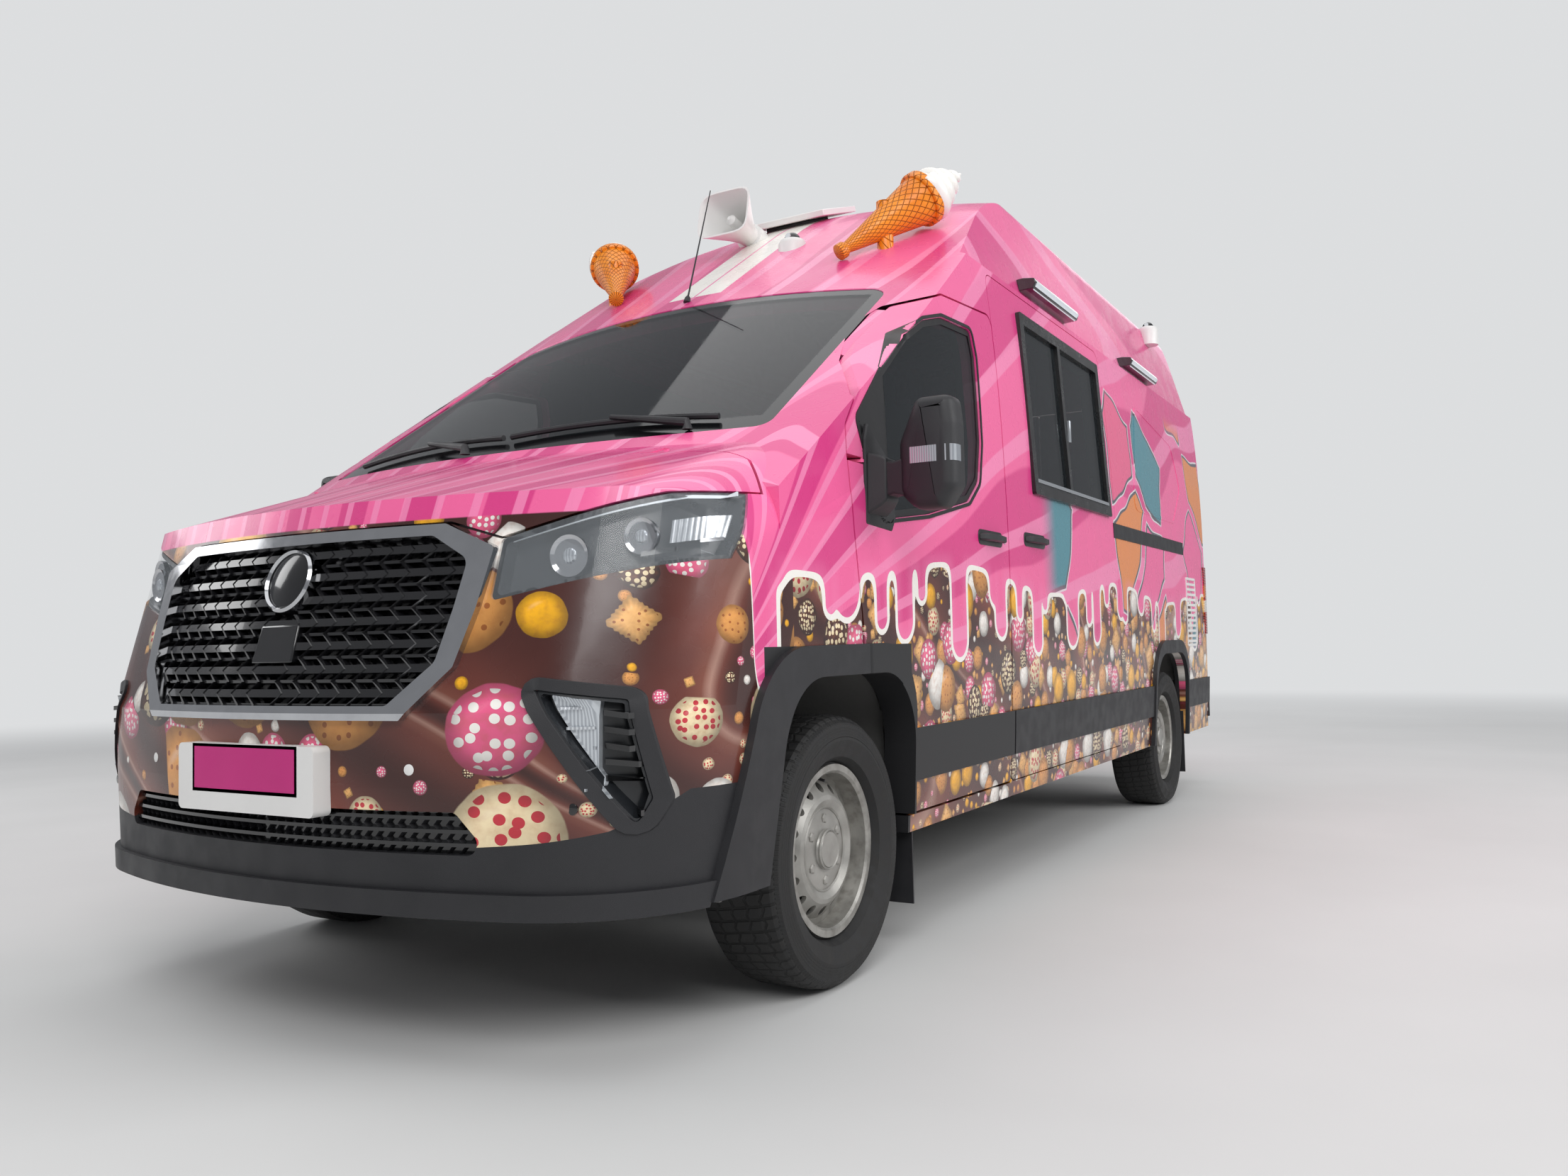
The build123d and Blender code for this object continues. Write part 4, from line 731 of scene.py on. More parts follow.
def headlamps():
    lens = Skin("front", "headlamp_lenses")
    way = Vector((0.22, -1, 0))
    for x, z, r in LAMP_ROUNDS:
        spot = lens.at(x, z) + BACK * 0.014
        ring = ((r * 0.8, 0), (r, 4), (r, -10), (r * 0.86, -12), (r * 0.8, 0))
        both_sides("lamp_ring_%d" % x, turned(spot, way, ring), "chrome")
        bowl = ((r * 0.82, -1), (r * 0.6, -12), (r * 0.5, -14), (0, -14), (0, -16), (r * 0.82, -16))
        both_sides("lamp_bowl_%d" % x, turned(spot, way, bowl), "silver")
        ball = ((r * 0.5, -13), (r * 0.46, -4), (r * 0.3, 4), (0, 7))
        both_sides("lamp_ball_%d" % x, turned(spot, way, ball), "indicator")
    for name, x0, x1, low, high, depth, look in LAMP_BANDS:
        steps = max(2, round((x1 - x0) / 25))
        across = [x0 + (x1 - x0) * k / steps for k in range(steps + 1)]
        left, right = ([(x, lamp_line(x, share)) for x in across] for share in (low, high))
        both_sides("lamp_" + name, lens.strip(left, right, -depth, depth + 6), look)


FOG = ((728, 810, 6), (900, 785, 12), (930, 574, 25), (905, 515, 12))
# Columns: name, count, first z, step down, x from, lean, x to, drop, height, proud, look
FOG_BARS = (
    ("fog_rib", 5, 770, 42, 772, 15, 836, 0, 6, 15, "silver"),
    ("fog_slat", 7, 762, 34, 852, 0, 916, 6, 12, 20, "gloss"),
)
FOG_LAMP = ((752, 796, 4), (842, 784, 10), (838, 640, 10), (880, 560, 10))


def fog_lamps():
    skin = Skin("front", "front_bumper", "bumper_skirt", "lamp_housings")
    both_sides("fog_bezel", skin.ring(rounded(FOG, 30), -2, 24, 8, 12), "black", edge=2)
    tray = Skin("front", "lamp_housings")
    both_sides("fog_lamp", tray.patch(rounded(FOG_LAMP, 30), 12), "indicator")
    for name, count, z, step, left, lean, right, drop, deep, proud, look in FOG_BARS:
        for row in range(count):
            high = z - step * row
            top = [(left + lean * row, high), (right, high - drop)]
            bar = tray.strip(top, [(a, b - deep) for a, b in top], proud, 0)
            both_sides("%s_%d" % (name, row), bar, look)


DOOR_WINDOW = (
    (225, 1232, 40), (104, 1500, 20), (275, 1664, 60), (470, 1812, 80), (620, 1890, 60), (780, 1936, 60),
    (1040, 1950, 30), (1062, 1860, 50), (1046, 1560, 80), (1005, 1420, 60), (900, 1345, 60),
    (560, 1275, 150),
)
QUARTER_TRIM = ((232, 1236, 8), (300, 1246, 8), (300, 1660, 8), (262, 1644, 20), (120, 1500, 20))
# Columns: name, skin, y from and to, z, body, maker
HANDLES = (
    ("front_handle", "front_door_left", 968, 1198, 1236, DOOR, both_sides),
    ("sliding_handle", "sliding_door", 1432, 1676, 1258, "van", piece),
)


def doors():
    skin = Skin("side", "front_door_left")
    edge = rounded(DOOR_WINDOW, 22)
    both_sides("door_window_seal", skin.ring(edge, 2, 13, 3, 10), "seal", DOOR)
    glass = Skin("side", "door_glass_left")
    both_sides("door_quarter_trim", glass.patch(rounded(QUARTER_TRIM, 35), 2), "seal", DOOR)
    both_sides("door_glass_seal", glass.ring(edge, -22, -3, 3, 0), "seal", DOOR)
    for name, node, y0, y1, z, body, made in HANDLES:
        well = rounded(((y0, z - 26, 24), (y1, z - 26, 24), (y1, z + 26, 24), (y0, z + 26, 24)))
        spot = Skin("side", node).at((y0 + y1) / 2, z).x * 1000
        cup = slices(well, ((spot - 8, 0), (spot + 1.5, 0), (spot + 3, -3)))
        bar = []
        for k in range(13):
            share = k / 12
            y = y0 + 6 + (y1 - y0 - 12) * share
            lift, tall = 6, 9
            if 0 < k < 12:
                lift = 14 + 22 * math.sin(math.pi * min(1.0, share * 1.15) * 0.87) ** 0.6
                tall = 13
            edges = ((lift * 0.5, -tall), (lift, -tall * 0.7), (lift, tall * 0.7), (lift * 0.5, tall))
            bar.append([mm(spot + a, y, z + b) for a, b in edges])
        made(name + "_cup", cup, "seal", body)
        made(name, loops(bar), "black", body, edge=3)
    barrel = ((11, -3), (11, 2), (9, 3), (0, 3))
    both_sides("door_lock", turned(skin.at(1222, 1236), LEFT, barrel, 24), "chrome", DOOR)


MIRROR_HEAD = (
    (1096, 1290, 34), (1096, 1430, 60), (1148, 1549, 34), (1252, 1549, 30),
    (1261, 1470, 30), (1261, 1300, 45), (1222, 1246, 34), (1140, 1246, 40),
)
# Columns: y, width moved out
MIRROR_DEPTHS = (
    (147, -34), (150, -20), (158, -8), (170, -2), (190, 0), (226, 0), (232, -3), (234, -9), (228, -14),
)
# The foot starts behind the door's hinge, so that it clears the body when the door opens
MIRROR_BASE = (
    (126, 1212, 8), (125, 1330, 8), (127, 1446, 8), (144, 1494, 8),
    (286, 1400, 10), (317, 1240, 10), (290, 1202, 10),
)
# Columns: x, then corners (y, z)
MIRROR_BRACKET = (
    (1006, ((132, 1236), (262, 1236), (250, 1404), (140, 1412))),
    (1048, ((146, 1262), (238, 1262), (232, 1396), (150, 1400))),
    (1064, ((152, 1278), (228, 1278), (226, 1390), (154, 1392))),
)
MIRROR_ARM = (
    (1052, ((156, 1284), (222, 1284), (222, 1386), (156, 1386))),
    (1080, ((156, 1292), (222, 1292), (222, 1380), (156, 1380))),
    (1120, ((156, 1284), (222, 1284), (222, 1390), (156, 1390))),
)
# Columns: x, y
INDICATOR = ((1103, 160), (1116, 151), (1140, 146), (1200, 146), (1238, 149), (1254, 158), (1262, 176))


def mirrors():
    line = rounded(MIRROR_HEAD)
    base = slices(rounded(MIRROR_BASE), ((1003, 0), (1010, 0), (1014, -5)))
    bracket, arm = (
        loops([[mm(x, *p) for p in row] for x, row in rows]) for rows in (MIRROR_BRACKET, MIRROR_ARM)
    )
    cases = both_sides("mirror_case", slices(line, MIRROR_DEPTHS, "y"), "black", DOOR)
    for made, side in zip(cases, ("left", "right")):
        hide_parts("mirror_" + side)
    both_sides("mirror_base", base, "black", DOOR, edge=2)
    both_sides("mirror_bracket", bracket, "black", DOOR, edge=6)
    both_sides("mirror_arm", arm, "black", DOOR, edge=6)
    both_sides("mirror_glass", slices(line, ((226, -15), (230, -15)), "y"), "mirror", DOOR)
    rows = []
    for x, y in INDICATOR:
        rows.append([mm(x, y + a, z) for a, z in ((0, 1368), (0, 1412), (22, 1412), (22, 1368))])
    both_sides("mirror_indicator", loops(rows), "indicator", DOOR)


# Columns: y from and to, z
SIDE_LAMPS = ((1751, 2342, 2299), (3266, 3824, 2285))
SIDE_LAMP = ((912, -24), (972, -20), (982, 4), (974, 20), (930, 26), (902, 24))
SIDE_LAMP_LENS = ((966, -24), (983.5, -2), (984, 3), (968, -18))
HORN_PLACE = (-112.0, 1279.0, 2627.0)
HORN_LEAN = math.radians(12)
# Columns: distance back from the mouth, half width, half height, squareness
HORN_OUTSIDE = (
    (0, 116, 98, 5.0), (0.4, 119, 101, 5.0), (5, 118, 100, 5.0), (60, 92, 80, 4.5), (120, 66, 60, 3.2),
    (170, 48, 47, 2.2), (200, 44, 44, 2.0), (201, 58, 58, 2.0), (250, 60, 60, 2.0), (276, 54, 54, 2.0),
    (280, 30, 30, 2.0),
)
HORN_INSIDE = ((0, 112, 94, 5.0), (60, 88, 76, 4.5), (120, 62, 56, 3.2), (176, 40, 40, 2.0))
PANEL_PLACE = (-32, 1640, 2719)
PANEL_TILT = math.radians(20)
# Columns: name, half width, half length, height from and to, look
PANELS = (
    ("flat_panel", 210, 160, -13, 13, "white"), ("flat_panel_back", 110, 85, -34, -13, "black"),
)
CAMERAS = ((181, 1221, 2450), (830, 4303, 2690))
CAMERA_FOOT = ((56, -90), (56, 0), (50, 12), (43, 18), (0, 20))
BALL_R = 34


def roof_fittings():
    """Lamp bars, loudspeaker horn, flat panel and dome cameras, in place of the plain solids."""
    wanted = []
    for number, (y0, y1, z) in enumerate(SIDE_LAMPS):
        shape = loops([[mm(x, y, z + h) for x, h in SIDE_LAMP] for y in (y0, y1)])
        wanted += both_sides("side_lamp_%d" % number, shape, "gloss", edge=3)
        lens = loops([[mm(x, y, z + h) for x, h in SIDE_LAMP_LENS] for y in (y0 + 14, y1 - 14)])
        both_sides("side_lamp_lens_%d" % number, lens, "led")

    x, y, z = HORN_PLACE
    back_way = Vector((0, math.cos(HORN_LEAN), -math.sin(HORN_LEAN)))
    up = Vector((0, math.sin(HORN_LEAN), math.cos(HORN_LEAN)))
    start = mm(x, y - 100, z)
    sizes = HORN_OUTSIDE[::-1] + HORN_INSIDE
    rows = [squircle(start + back_way * far / 1000, up, *size) for far, *size in sizes]
    wanted.append(piece("horn", loops(rows), "white"))
    core = tube([start + back_way * d for d in (0.045, 0.06, 0.18)], [8, 21, 21], 24)
    piece("horn_core", core, "white")
    piece("horn_post", tube([mm(x, y + 100, 2400), mm(x, y + 100, 2590)], 14), "chassis")

    centre = mm(*PANEL_PLACE)
    along = Vector((0, math.cos(PANEL_TILT), math.sin(PANEL_TILT)))
    over = Vector((0, -math.sin(PANEL_TILT), math.cos(PANEL_TILT)))
    for name, wide, deep, low, high, look in PANELS:
        corners = ((-wide, -deep), (wide, -deep), (wide, deep), (-wide, deep))
        rows = [
            [centre + (LEFT * a + along * b + over * h) / 1000 for a, b in corners] for h in (low, high)
        ]
        wanted.append(piece(name, loops(rows), look, edge=4))
    piece("flat_panel_post", tube([mm(-32, 1640, 2500), mm(-32, 1640, 2700)], 18), "chassis")

    quarter = [math.pi * k / 20 for k in range(11)]
    ball = [(BALL_R * math.cos(a), 14 + BALL_R * math.sin(a)) for a in quarter]
    for number, place in enumerate(CAMERAS):
        foot = mm(*place)
        wanted.append(piece("camera_base_%d" % number, turned(foot, UP, CAMERA_FOOT), "white"))
        piece("camera_ball_%d" % number, turned(foot, UP, ball), "gloss")
        eye = ((12, -6), (12, 6), (0, 6))
        nose = turned(foot + Vector((0, -0.03, 0.026)), Vector((0, -1, 0.3)), eye, 20)
        piece("camera_eye_%d" % number, nose, "chrome")
    for one in wanted:
        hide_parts("roof_fittings")


def squircle(centre, up, wide, tall, power, count=48):
    made = []
    for k in range(count):
        angle = 2 * math.pi * k / count
        c, s = math.cos(angle), math.sin(angle)
        reach = (abs(c) ** power + abs(s) ** power) ** (-1 / power)
        made.append(centre + LEFT * (c * reach * wide / 1000) + up * (s * reach * tall / 1000))
    return made


CONE_TIP = (512, 992, 2300)
CONE_AXIS = Vector((286, 355, 315)).normalized()
CONE_ASIDE = CONE_AXIS.orthogonal().normalized()
CONE_OVER = CONE_AXIS.cross(CONE_ASIDE)
# Metres, from the tip to the rim, then of the rope's widest turn and height
CONE_LENGTH = 0.42
SWIRL_R = 0.068
SWIRL_HEIGHT = 0.172
SWIRL_TURNS = 3.6
SWIRL_STEPS = 150
SWIRL_CORE = ((92, -12), (97, 4), (86, 20), (60, 70), (30, 130), (4, 185))
CONE_COLLAR = ((98.5, -34), (104, -30), (104, -4), (98, 2))
CONE_FOOT = ((12, -20), (30, -12), (30, 12), (18, 30))


def soft_serve():
    """Whipped swirl on each cone: a tapering rope wound round a core."""
    base = mm(*CONE_TIP) + CONE_AXIS * CONE_LENGTH
    path, radii = [], []
    for k in range(SWIRL_STEPS + 1):
        share = k / SWIRL_STEPS
        angle = 2 * math.pi * SWIRL_TURNS * share
        reach = SWIRL_R * (1 - share) ** 0.8
        aside = math.cos(angle) * CONE_ASIDE + math.sin(angle) * CONE_OVER
        path.append(base + CONE_AXIS * (0.004 + SWIRL_HEIGHT * share ** 1.05) + reach * aside)
        radii.append(38 * (1 - share) ** 0.7 + 6)
    swirl = join((tube(path, radii, 16), turned(base, CONE_AXIS, SWIRL_CORE, 32)))
    for made in both_sides("soft_serve", swirl, "swirl"):
        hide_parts("ice_cream_swirls")
    both_sides("cone_collar", turned(base, CONE_AXIS, CONE_COLLAR, 48), "orange")
    both_sides("cone_foot", turned(mm(*CONE_TIP), CONE_AXIS, CONE_FOOT, 24), "orange")


# Columns: x and y of the tip, x and y of the far end, distance from the far end to the root
WIPERS = ((-640, -190, 30, -262, 90), (60, -262, 700, -150, 60))


def screen_fittings():
    screen = Skin("top", "windscreen", "hood", "body_shell", "front_fenders")
    for number, (x0, y0, x1, y1, inset) in enumerate(WIPERS):
        line = [screen.at(x0 + (x1 - x0) * k / 14, y0 + (y1 - y0) * k / 14 + 40) for k in range(15)]
        blade = tube([p + Vector((0, -0.006, 0.014)) for p in line], 9, 8)
        piece("wiper_blade_%d" % number, blade, "black")
        root = screen.at(x1 - inset, y1 - 30)
        middle = line[7] + Vector((0, -0.01, 0.026))
        arm = tube([root + UP * 0.01, root + UP * 0.03, middle], [15, 12, 7], 10)
        piece("wiper_arm_%d" % number, arm, "black")

    # Filler for the opening that the solids leave in each pillar beside the windscreen
    rows = []
    for y in range(312, 642, 30):
        left = mm(830.5 - 0.045 * (y - 336), y, 1763.5 + 0.667 * (y - 336))
        right = mm(865.0, y, 1732.5 + 0.687 * (y - 314))
        inward = Vector((-0.19, 0.54, -0.82)) * 0.012
        rows.append([left, right, right + inward, left + inward])
    both_sides("screen_pillar", loops(rows), "wrap")

    foot, top = mm(0, 752, 2139), mm(0, 921, 2608)
    way = (top - foot).normalized()
    aerial = tube([foot, foot + way * 0.02, foot + way * 0.03, top], [14, 10, 3.5, 2], 10)
    piece("aerial", aerial, "black")
    pod = ((50, -3), (45, 0), (0, 1))
    piece("screen_sensor", turned(screen.at(0, 640), Vector((0, -0.55, 0.83)), pod, 24), "gloss")


VENT = ((4205, 830, 12), (4450, 830, 12), (4450, 1222, 12), (4205, 1222, 12))
PRESSED_LINE = ((3128, 1528, 60), (3335, 2058, 90), (4095, 1959, 90), (4222, 1729, 60), (3992, 1527, 60))
# Columns: name, y, top of the wide part, top
MUDFLAPS = (("front", 429.2, 336, 470), ("rear", 4137.6, 468, 469))


def side_fittings():
    skin = Skin("side", "body_shell")
    piece("vent_rim", skin.ring(rounded(VENT), -14, 0, 4, 4), "white")
    for row in range(12):
        z = 852 + 29.5 * row
        low, high = ([(4218, z + rise), (4437, z + rise)] for rise in (0, 15))
        piece("vent_slat_%d" % row, skin.strip(low, high, 3, 2), "white")
    both_sides("pressed_edge", skin.ring(rounded(PRESSED_LINE), 0, 16, 2, 3), "wrap")
    for name, y, wide_top, top in MUDFLAPS:
        wide = block((764, 985), (y, y + 6), (130, wide_top))
        tab = block((764, 872), (y, y + 6), (wide_top - 1, top))
        both_sides("mudflap_" + name, join((wide, tab)), "black")
    low, high = ([(1600, z), (2602, z)] for z in (1484, 1498))
    piece("serving_track", Skin("side", "serving_window").strip(low, high, 1, 20), "silver")
    piece("serving_catch", block((1000, 1012), (2050, 2066), (1700, 1790)), "silver", edge=2)


def rear_fittings():
    for hand, side in ((1, "left"), (-1, "right")):
        body = "rear_door_" + side
        skin = Skin("rear", body)
        for z in (760, 1330, 1900):
            spot = skin.at(812 * hand, z)
            x, y = spot.x * 1000, 1000 * (spot.y - FRONT_AXLE_Y)
            shape = block(sorted((x - 62 * hand, x + 34 * hand)), (y - 6, y + 5), (z - 30, z + 30))
            piece("rear_hinge_%s_%d" % (side, z), shape, "black", body, edge=3)
    y = 1000 * (Skin("rear", "rear_door_right").at(-92, 1120).y - FRONT_AXLE_Y)
    handle = block((-126, -58), (y - 6, y + 5), (1040, 1210))
    piece("rear_handle", handle, "black", "rear_door_right", edge=4)
    skin = Skin("rear", "rear_bumper")
    for x in (300, 760):
        button = turned(skin.at(x, 472), BACK, ((12, -4), (12, 0), (0, 0)), 20)
        both_sides("rear_sensor_%d" % x, button, "gloss")


# Columns: radius, x, half width of the bead
CAP_RINGS = ((108, 928.5, 3.5), (50, 943, 3))
BOLTS = 6
# Metres, from the vehicle's middle line and from the wheel's axis
BOLT_X = 0.925
BOLT_RING = 0.080
VALVE = (0.905, 0.0, 0.186)


def wheels():
    for name, y in (("front", FRONT_AXLE_Y), ("rear", REAR_AXLE_Y)):
        centre = Vector((0, y, AXLE_Z))
        body = "wheel_%s_SIDE" % name
        rings = []
        for r, far, fat in CAP_RINGS:
            rows = ((r - fat, far - 4), (r - fat, far), (r, far + fat), (r + fat, far), (r + fat, far - 4))
            rings.append(turned(centre, LEFT, rows, 64))
        both_sides("wheel_cap_rings_" + name, join(rings), "rim", body)
        bolts = []
        for k in range(BOLTS):
            angle = 2 * math.pi * (k + 0.5) / BOLTS
            place = centre + Vector((BOLT_X, BOLT_RING * math.cos(angle), BOLT_RING * math.sin(angle)))
            bolts.append(turned(place, LEFT, ((13, -4), (13, 6), (10, 9), (0, 10)), 6))
        both_sides("wheel_bolts_" + name, join(bolts), "rim", body)
        stem = ((4, -10), (4, 30), (0, 31))
        valve = turned(centre + Vector(VALVE), Vector((1, 0, -0.3)), stem, 10)
        both_sides("wheel_valve_" + name, valve, "black", body)


def clear_glass(name, colour, alpha, border=False):
    s = Shader(name)
    tone = s.ramp(s.noise(3.0, 3.0), ((0.3, colour, 0.85), (0.7, colour)))
    gloss = s.step(s.noise(20.0, 4.0), 0.4, 0.8, 0.02, 0.06)
    if border:
        x, y, _ = s.axes()
        side = abs(x)
        back = y - FRONT_AXLE_Y
        inner = 0.839 - (back + 0.105) * 0.05 - side
        low = side ** 2.0 * 0.26 + -0.29
        high = side ** 2.0 * 0.109 + 0.705
        inner = s.math("MINIMUM", inner, (back - low) * 0.55)
        inner = s.math("MINIMUM", inner, (high - back) * 0.9)
        band = s.step(inner, 0.036, 0.042, 1.0, 0.0)
        tone = s.mix(band, tone, "101113")
        alpha = s.blend(band, alpha, 1.0)
        gloss = s.blend(band, gloss, 0.12)
    return s.finish(tone, gloss, Alpha=alpha, Specular_IOR_Level=0.6)


def wheel_frame(s):
    """Distance from the wheel's axis, angle round it and distance across, from the surface point."""
    x, y, z = s.axes()
    along = y - s.step(y, -0.2, 0.2, FRONT_AXLE_Y, REAR_AXLE_Y)
    up = z - AXLE_Z
    return s.distance(along, up), s.math("ARCTAN2", up, along), abs(x) - WHEEL_FACE_X


def tyre_rubber():
    """Rubber with rings on the wall and grooves in the tread, read from the wheel's own centre, with
    painted shade in the grooves.
    """
    s = Shader("tyre_rubber")
    radius, angle, across = wheel_frame(s)
    cloud = s.noise(30.0, 4.0)
    tread = s.step(radius, 0.337, 0.341)
    zig = s.math("PINGPONG", angle * 9.0, 0.5) * 0.018
    lanes = s.math("SINE", (across + zig) * 150.0)
    blocks = s.math("SINE", angle * 66.0 + across * 30.0)
    height = s.step(lanes, -0.95, -0.8) * s.step(blocks, -0.9, -0.7)
    ring_zone = s.step(radius, 0.292, 0.295) * s.step(radius, 0.318, 0.321, 1.0, 0.0)
    rings = s.step(s.math("SINE", radius * 820.0), 0.2, 0.5) * ring_zone
    rib_zone = s.step(radius, 0.326, 0.328) * s.step(radius, 0.337, 0.338, 1.0, 0.0)
    ribs = s.step(s.math("SINE", angle * 180.0), 0.0, 0.4) * rib_zone
    shape = s.blend(tread, s.math("MAXIMUM", rings, ribs), height)
    base = s.ramp(cloud, ((0.35, "1A1A1B"), (0.75, "2A2928")))
    s.bump(shape + s.noise(400.0, 3.0) * 0.08, 0.004)
    # Painted shade: the grooves in the tread are darker
    tone = s.mix(tread * (1.0 - height), base, "0B0B0B")
    return s.finish(tone, s.step(cloud, 0.3, 0.7, 0.6, 0.8))


def wheel_silver():
    s = Shader("wheel_silver")
    cloud = s.noise(12.0, 4.0)
    base = s.ramp(cloud, ((0.3, "8F8D88"), (0.7, "B2B0AB")))
    dust = s.step(wheel_frame(s)[0], 0.13, 0.2) * s.step(s.noise(40.0, 4.0), 0.4, 0.75)
    s.bump(s.noise(250.0), 0.0002)
    tone = s.mix(dust * 0.5, base, "6E6A63")
    return s.finish(tone, s.step(cloud, 0.3, 0.7, 0.32, 0.46), Metallic=0.55)


def cone_orange():
    """Moulded waffle grid, read from the cone's axis, with painted shade in its grooves."""
    s = Shader("cone_orange")
    x, y, z = s.axes()
    tip = mm(*CONE_TIP)
    local = s.vector(abs(x) - tip.x, y - tip.y, z - tip.z)
    parts = []
    for way in (CONE_AXIS, CONE_ASIDE, CONE_OVER):
        dot = s.node("ShaderNodeVectorMath", {0: local, 1: way}, operation="DOT_PRODUCT")
        parts.append(Term(s, dot.outputs["Value"]))
    angle = s.math("ARCTAN2", parts[2], parts[1])
    rise = s.math("MAXIMUM", parts[0], 0.001) ** 0.8 * 40.0
    waves = [s.math("SINE", angle * (9.0 * hand) + rise * 2.2) for hand in (1, -1)]
    grid = s.math("MAXIMUM", *[s.step(abs(wave), 0.0, 0.3, 1.0, 0.0) for wave in waves])
    base = s.ramp(s.noise(8.0, 3.0), ((0.3, "E8800F"), (0.7, "F6981C")))
    s.bump(1.0 - grid, 0.004)
    # Painted shade: the grooves of the grid are darker orange
    return s.finish(s.mix(grid * 0.75, base, "A9560A"), s.uneven(60.0, 2.0, 0.28, 0.4))


def metal(name, colour, rough, streak=0.08):
    s = Shader(name)
    tone = s.ramp(s.noise(18.0, 4.0), ((0.3, colour, 1 - streak), (0.7, colour)))
    return s.finish(tone, s.uneven(40.0, 3.0, rough * 0.8, rough * 1.2), Metallic=1.0)


def ribbed_lamp(name, dark, light, rough, metallic):
    """Fluted lamp optics, with painted highlights on the crests of the flutes and painted shade in their
    troughs.
    """
    s = Shader(name)
    flutes = s.math("SINE", s.axes()[0] * 900.0)
    # Painted light: lighter colour on the crests of the flutes, painted shade in the troughs
    tone = s.ramp(s.step(flutes, -1.0, 1.0), ((0.2, dark), (0.8, light)))
    s.bump(flutes, 0.0002)
    return s.finish(tone, s.uneven(60.0, 2.0, rough * 0.8, rough * 1.2), Metallic=metallic)


def tail_red():
    s = Shader("tail_lamp_red")
    z = s.axes()[2]
    ribs = s.math("SINE", z * 400.0)
    # Painted light: lighter red on the crests of the ribs, painted shade in their troughs
    tone = s.ramp(s.step(ribs, -1.0, 1.0), ((0.2, "7C0B12"), (0.8, "B01722")))
    tone = s.mix(z.between(1.03, 1.10), tone, "D9D4CF")
    tone = s.mix(z.between(1.12, 1.19), tone, "C56A12")
    s.bump(ribs, 0.0008)
    return s.finish(tone, s.uneven(40.0, 2.0, 0.12, 0.2), Coat_Weight=0.6)


# Columns: material, slot of a piece that has it, nodes that wear it by the start of their names
LOOKS = {
    "wrap": (
        wrap_paint(), "body_paint",
        (
            "body_shell", "roof_panel", "hood", "front_fenders", "front_bumper", "sliding_door",
            "front_door_", "rear_door_",
        ),
    ),
    "black": (
        grained("black_plastic", "232326", 0.5), "black_plastic",
        ("bumper_skirt", "body_trim", "rear_bumper", "mirror_"),
    ),
    "gloss": (
        grained("gloss_black", "141416", 0.14, 0.0, 1.0, 0.15, coat=0.6), "black_plastic",
        ("grille_mesh",),
    ),
    "seal": (grained("rubber_seal", "151517", 0.42, 0.0002, 600.0), "black_plastic", ()),
    "chrome": (metal("bright_chrome", "C6C7CA", 0.12), "chrome_trim", ("grille_surround",)),
    "silver": (ribbed_lamp("lamp_reflector", "B4B8BD", "DDE1E5", 0.2, 0.7), "chrome_trim", ()),
    "indicator": (ribbed_lamp("lamp_glass_ribbed", "A7ACB2", "C9CED3", 0.12, 0.5), "lamp_clear", ()),
    "led": (grained("lamp_strip", "DFE6EC", 0.2, 0.0002, 200.0, 0.06, coat=0.4), "lamp_clear", ()),
    "mirror": (metal("mirror_glass", "C9D0D6", 0.03, 0.03), "chrome_trim", ()),
    "plate": (grained("plate_magenta", "C31C79", 0.34, 0.0001, 500.0, 0.05), "white_plastic", ()),
    "white": (
        grained("white_plastic", "E3E2E0", 0.35, 0.0001, 300.0, 0.03), "white_plastic",
        ("plate_holder", "roof_fittings"),
    ),
    "orange": (cone_orange(), "orange_plastic", ("ice_cream_cones",)),
    "swirl": (
        grained("cream_white", "EFEDE8", 0.32, 0.0003, 40.0, 0.03, coat=0.3), "white_plastic",
        ("ice_cream_swirls",),
    ),
    "lamp": (grained("lamp_housing", "222427", 0.25, 0.0001, 300.0), None, ("lamp_housings",)),
    "clear": (clear_glass("lamp_cover", "D5DCE2", 0.10), None, ("headlamp_lenses",)),
    "red": (tail_red(), None, ("tail_lamps",)),
    "screen": (clear_glass("windscreen_glass", "1D2226", 0.56, border=True), None, ("windscreen",)),
    "glass": (clear_glass("tinted_glass", "1C2226", 0.55), None, ("serving_glass", "door_glass_")),
    "frame": (grained("window_frame_black", "141416", 0.3), None, ("serving_window",)),
    "floor": (grained("floor_sheet", "6B6A68", 0.6, 0.0005, 90.0), None, ("floor_pan",)),
    "chassis": (
        grained("chassis_black", "1D1C1B", 0.6, 0.0006, 200.0), "frame_steel",
        ("chassis_frame", "front_suspension", "rear_axle", "knuckle_"),
    ),
    "iron": (metal("engine_metal", "6E6B66", 0.55), None, ("engine_block",)),
    "cab": (grained("cab_plastic", "2B2B2E", 0.7, 0.0004, 700.0), None, ("cab_interior", "steering_wheel")),
    "tyre": (tyre_rubber(), None, ("tyre_",)),
    "rim": (wheel_silver(), "wheel_steel", ("rim_",)),
}


def dress_nodes():
    for material, _, names in LOOKS.values():
        for name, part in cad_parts.items():
            if name.startswith(names):
                for slot in part.material_slots:
                    slot.material = material


BACKDROP = (0.72, 0.73, 0.74, 1.0)
SKY = (0.84, 0.86, 0.90, 1.0)
SKY_STRENGTH = 0.36
FLOOR_REACH = 60.0
# Columns: name, place, target, width, height, power
LAMPS = (
    ("key", (5.0, -8.0, 6.5), (0.0, -1.5, 1.0), 6.0, 4.0, 430.0),
    ("side", (9.0, 1.0, 5.0), (0.0, 0.5, 1.2), 7.0, 3.5, 380.0),
    ("top", (0.0, 0.0, 9.5), (0.0, 0.0, 0.0), 10.0, 13.0, 360.0),
    ("fill", (-8.0, -3.0, 5.0), (0.0, 0.0, 1.2), 6.0, 4.0, 200.0),
    ("back", (-3.0, 11.0, 5.0), (0.0, 0.0, 1.5), 9.0, 5.0, 200.0),
)


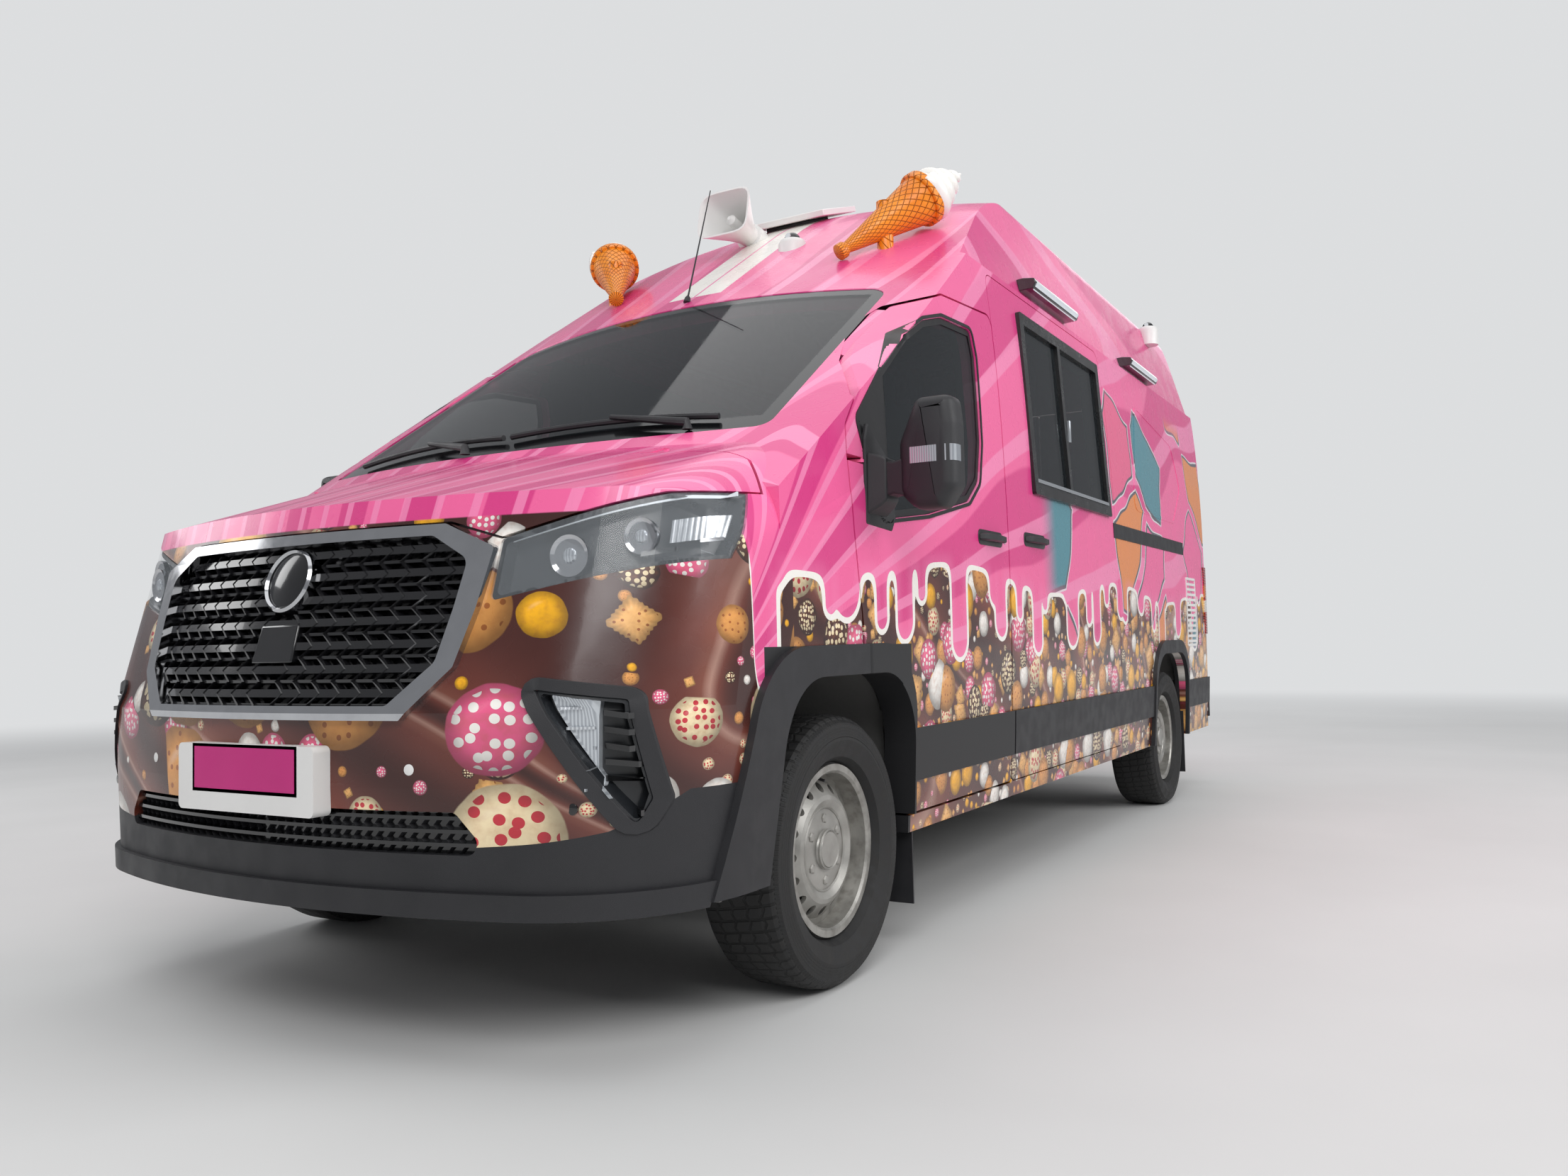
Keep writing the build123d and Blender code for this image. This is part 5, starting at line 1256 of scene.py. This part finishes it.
def studio():
    """Pale floor that fades into the background, soft light and the photograph's camera."""
    mesh = bpy.data.meshes.new("studio_floor")
    corners = [(a * FLOOR_REACH, b * FLOOR_REACH, 0) for a, b in ((-1, -1), (1, -1), (1, 1), (-1, 1))]
    mesh.from_pydata(corners, [], [(0, 1, 2, 3)])
    floor = bpy.data.objects.new("studio_floor", mesh)
    bpy.context.collection.objects.link(floor)
    s = Shader("studio_floor")
    s.finish(s.ramp(s.noise(0.6, 4.0), ((0.3, "D0D0CF"), (0.7, "D8D8D7"))), 0.7)
    x, y, _ = s.axes()
    glow = s.node("ShaderNodeEmission", {"Color": BACKDROP}).outputs[0]
    feeds = {0: s.step(s.distance(x, y), 6.0, 16.0), 1: s.base.outputs[0], 2: glow}
    blend = s.node("ShaderNodeMixShader", feeds)
    s.feed(s.tree.nodes["Material Output"].inputs["Surface"], blend.outputs[0])
    mesh.materials.append(s.material)

    world = bpy.data.worlds.new("studio")
    bpy.context.scene.world = world
    world.use_nodes = True
    tree = world.node_tree
    light = tree.nodes["Background"]
    light.inputs["Color"].default_value = SKY
    light.inputs["Strength"].default_value = SKY_STRENGTH
    shown = tree.nodes.new("ShaderNodeBackground")
    shown.inputs["Color"].default_value = BACKDROP
    path = tree.nodes.new("ShaderNodeLightPath")
    blend = tree.nodes.new("ShaderNodeMixShader")
    sources = (path.outputs["Is Camera Ray"], light.outputs[0], shown.outputs[0])
    for source, socket in zip(sources, blend.inputs):
        tree.links.new(source, socket)
    tree.links.new(blend.outputs[0], tree.nodes["World Output"].inputs["Surface"])

    for name, place, target, width, height, power in LAMPS:
        data = bpy.data.lights.new(name, "AREA")
        data.shape = "RECTANGLE"
        data.size, data.size_y, data.energy = width, height, power
        lamp = bpy.data.objects.new(name, data)
        lamp.location = place
        lamp.rotation_euler = (Vector(target) - Vector(place)).to_track_quat("-Z", "Y").to_euler()
        bpy.context.collection.objects.link(lamp)

    yaw, pitch, roll = (math.radians(v) for v in (CAMERA_YAW, CAMERA_PITCH, CAMERA_ROLL))
    ahead = Vector((-math.sin(yaw) * math.cos(pitch), math.cos(yaw) * math.cos(pitch), math.sin(pitch)))
    right = Vector((math.cos(yaw), math.sin(yaw), 0.0))
    up = right.cross(ahead)
    right, up = math.cos(roll) * right + math.sin(roll) * up, math.cos(roll) * up - math.sin(roll) * right
    data = bpy.data.cameras.new("photo_camera")
    data.lens = CAMERA_LENS
    data.sensor_width = 36.0
    camera = bpy.data.objects.new("photo_camera", data)
    axes = Matrix((right, up, -ahead)).transposed().to_4x4()
    camera.matrix_world = Matrix.Translation(CAMERA_PLACE) @ axes
    bpy.context.collection.objects.link(camera)
    bpy.context.scene.camera = camera
    bpy.context.scene.view_settings.view_transform = "Standard"


dress_nodes()
grille()
front_sensors()
number_plate()
headlamps()
fog_lamps()
doors()
mirrors()
roof_fittings()
soft_serve()
screen_fittings()
side_fittings()
rear_fittings()
wheels()
studio()
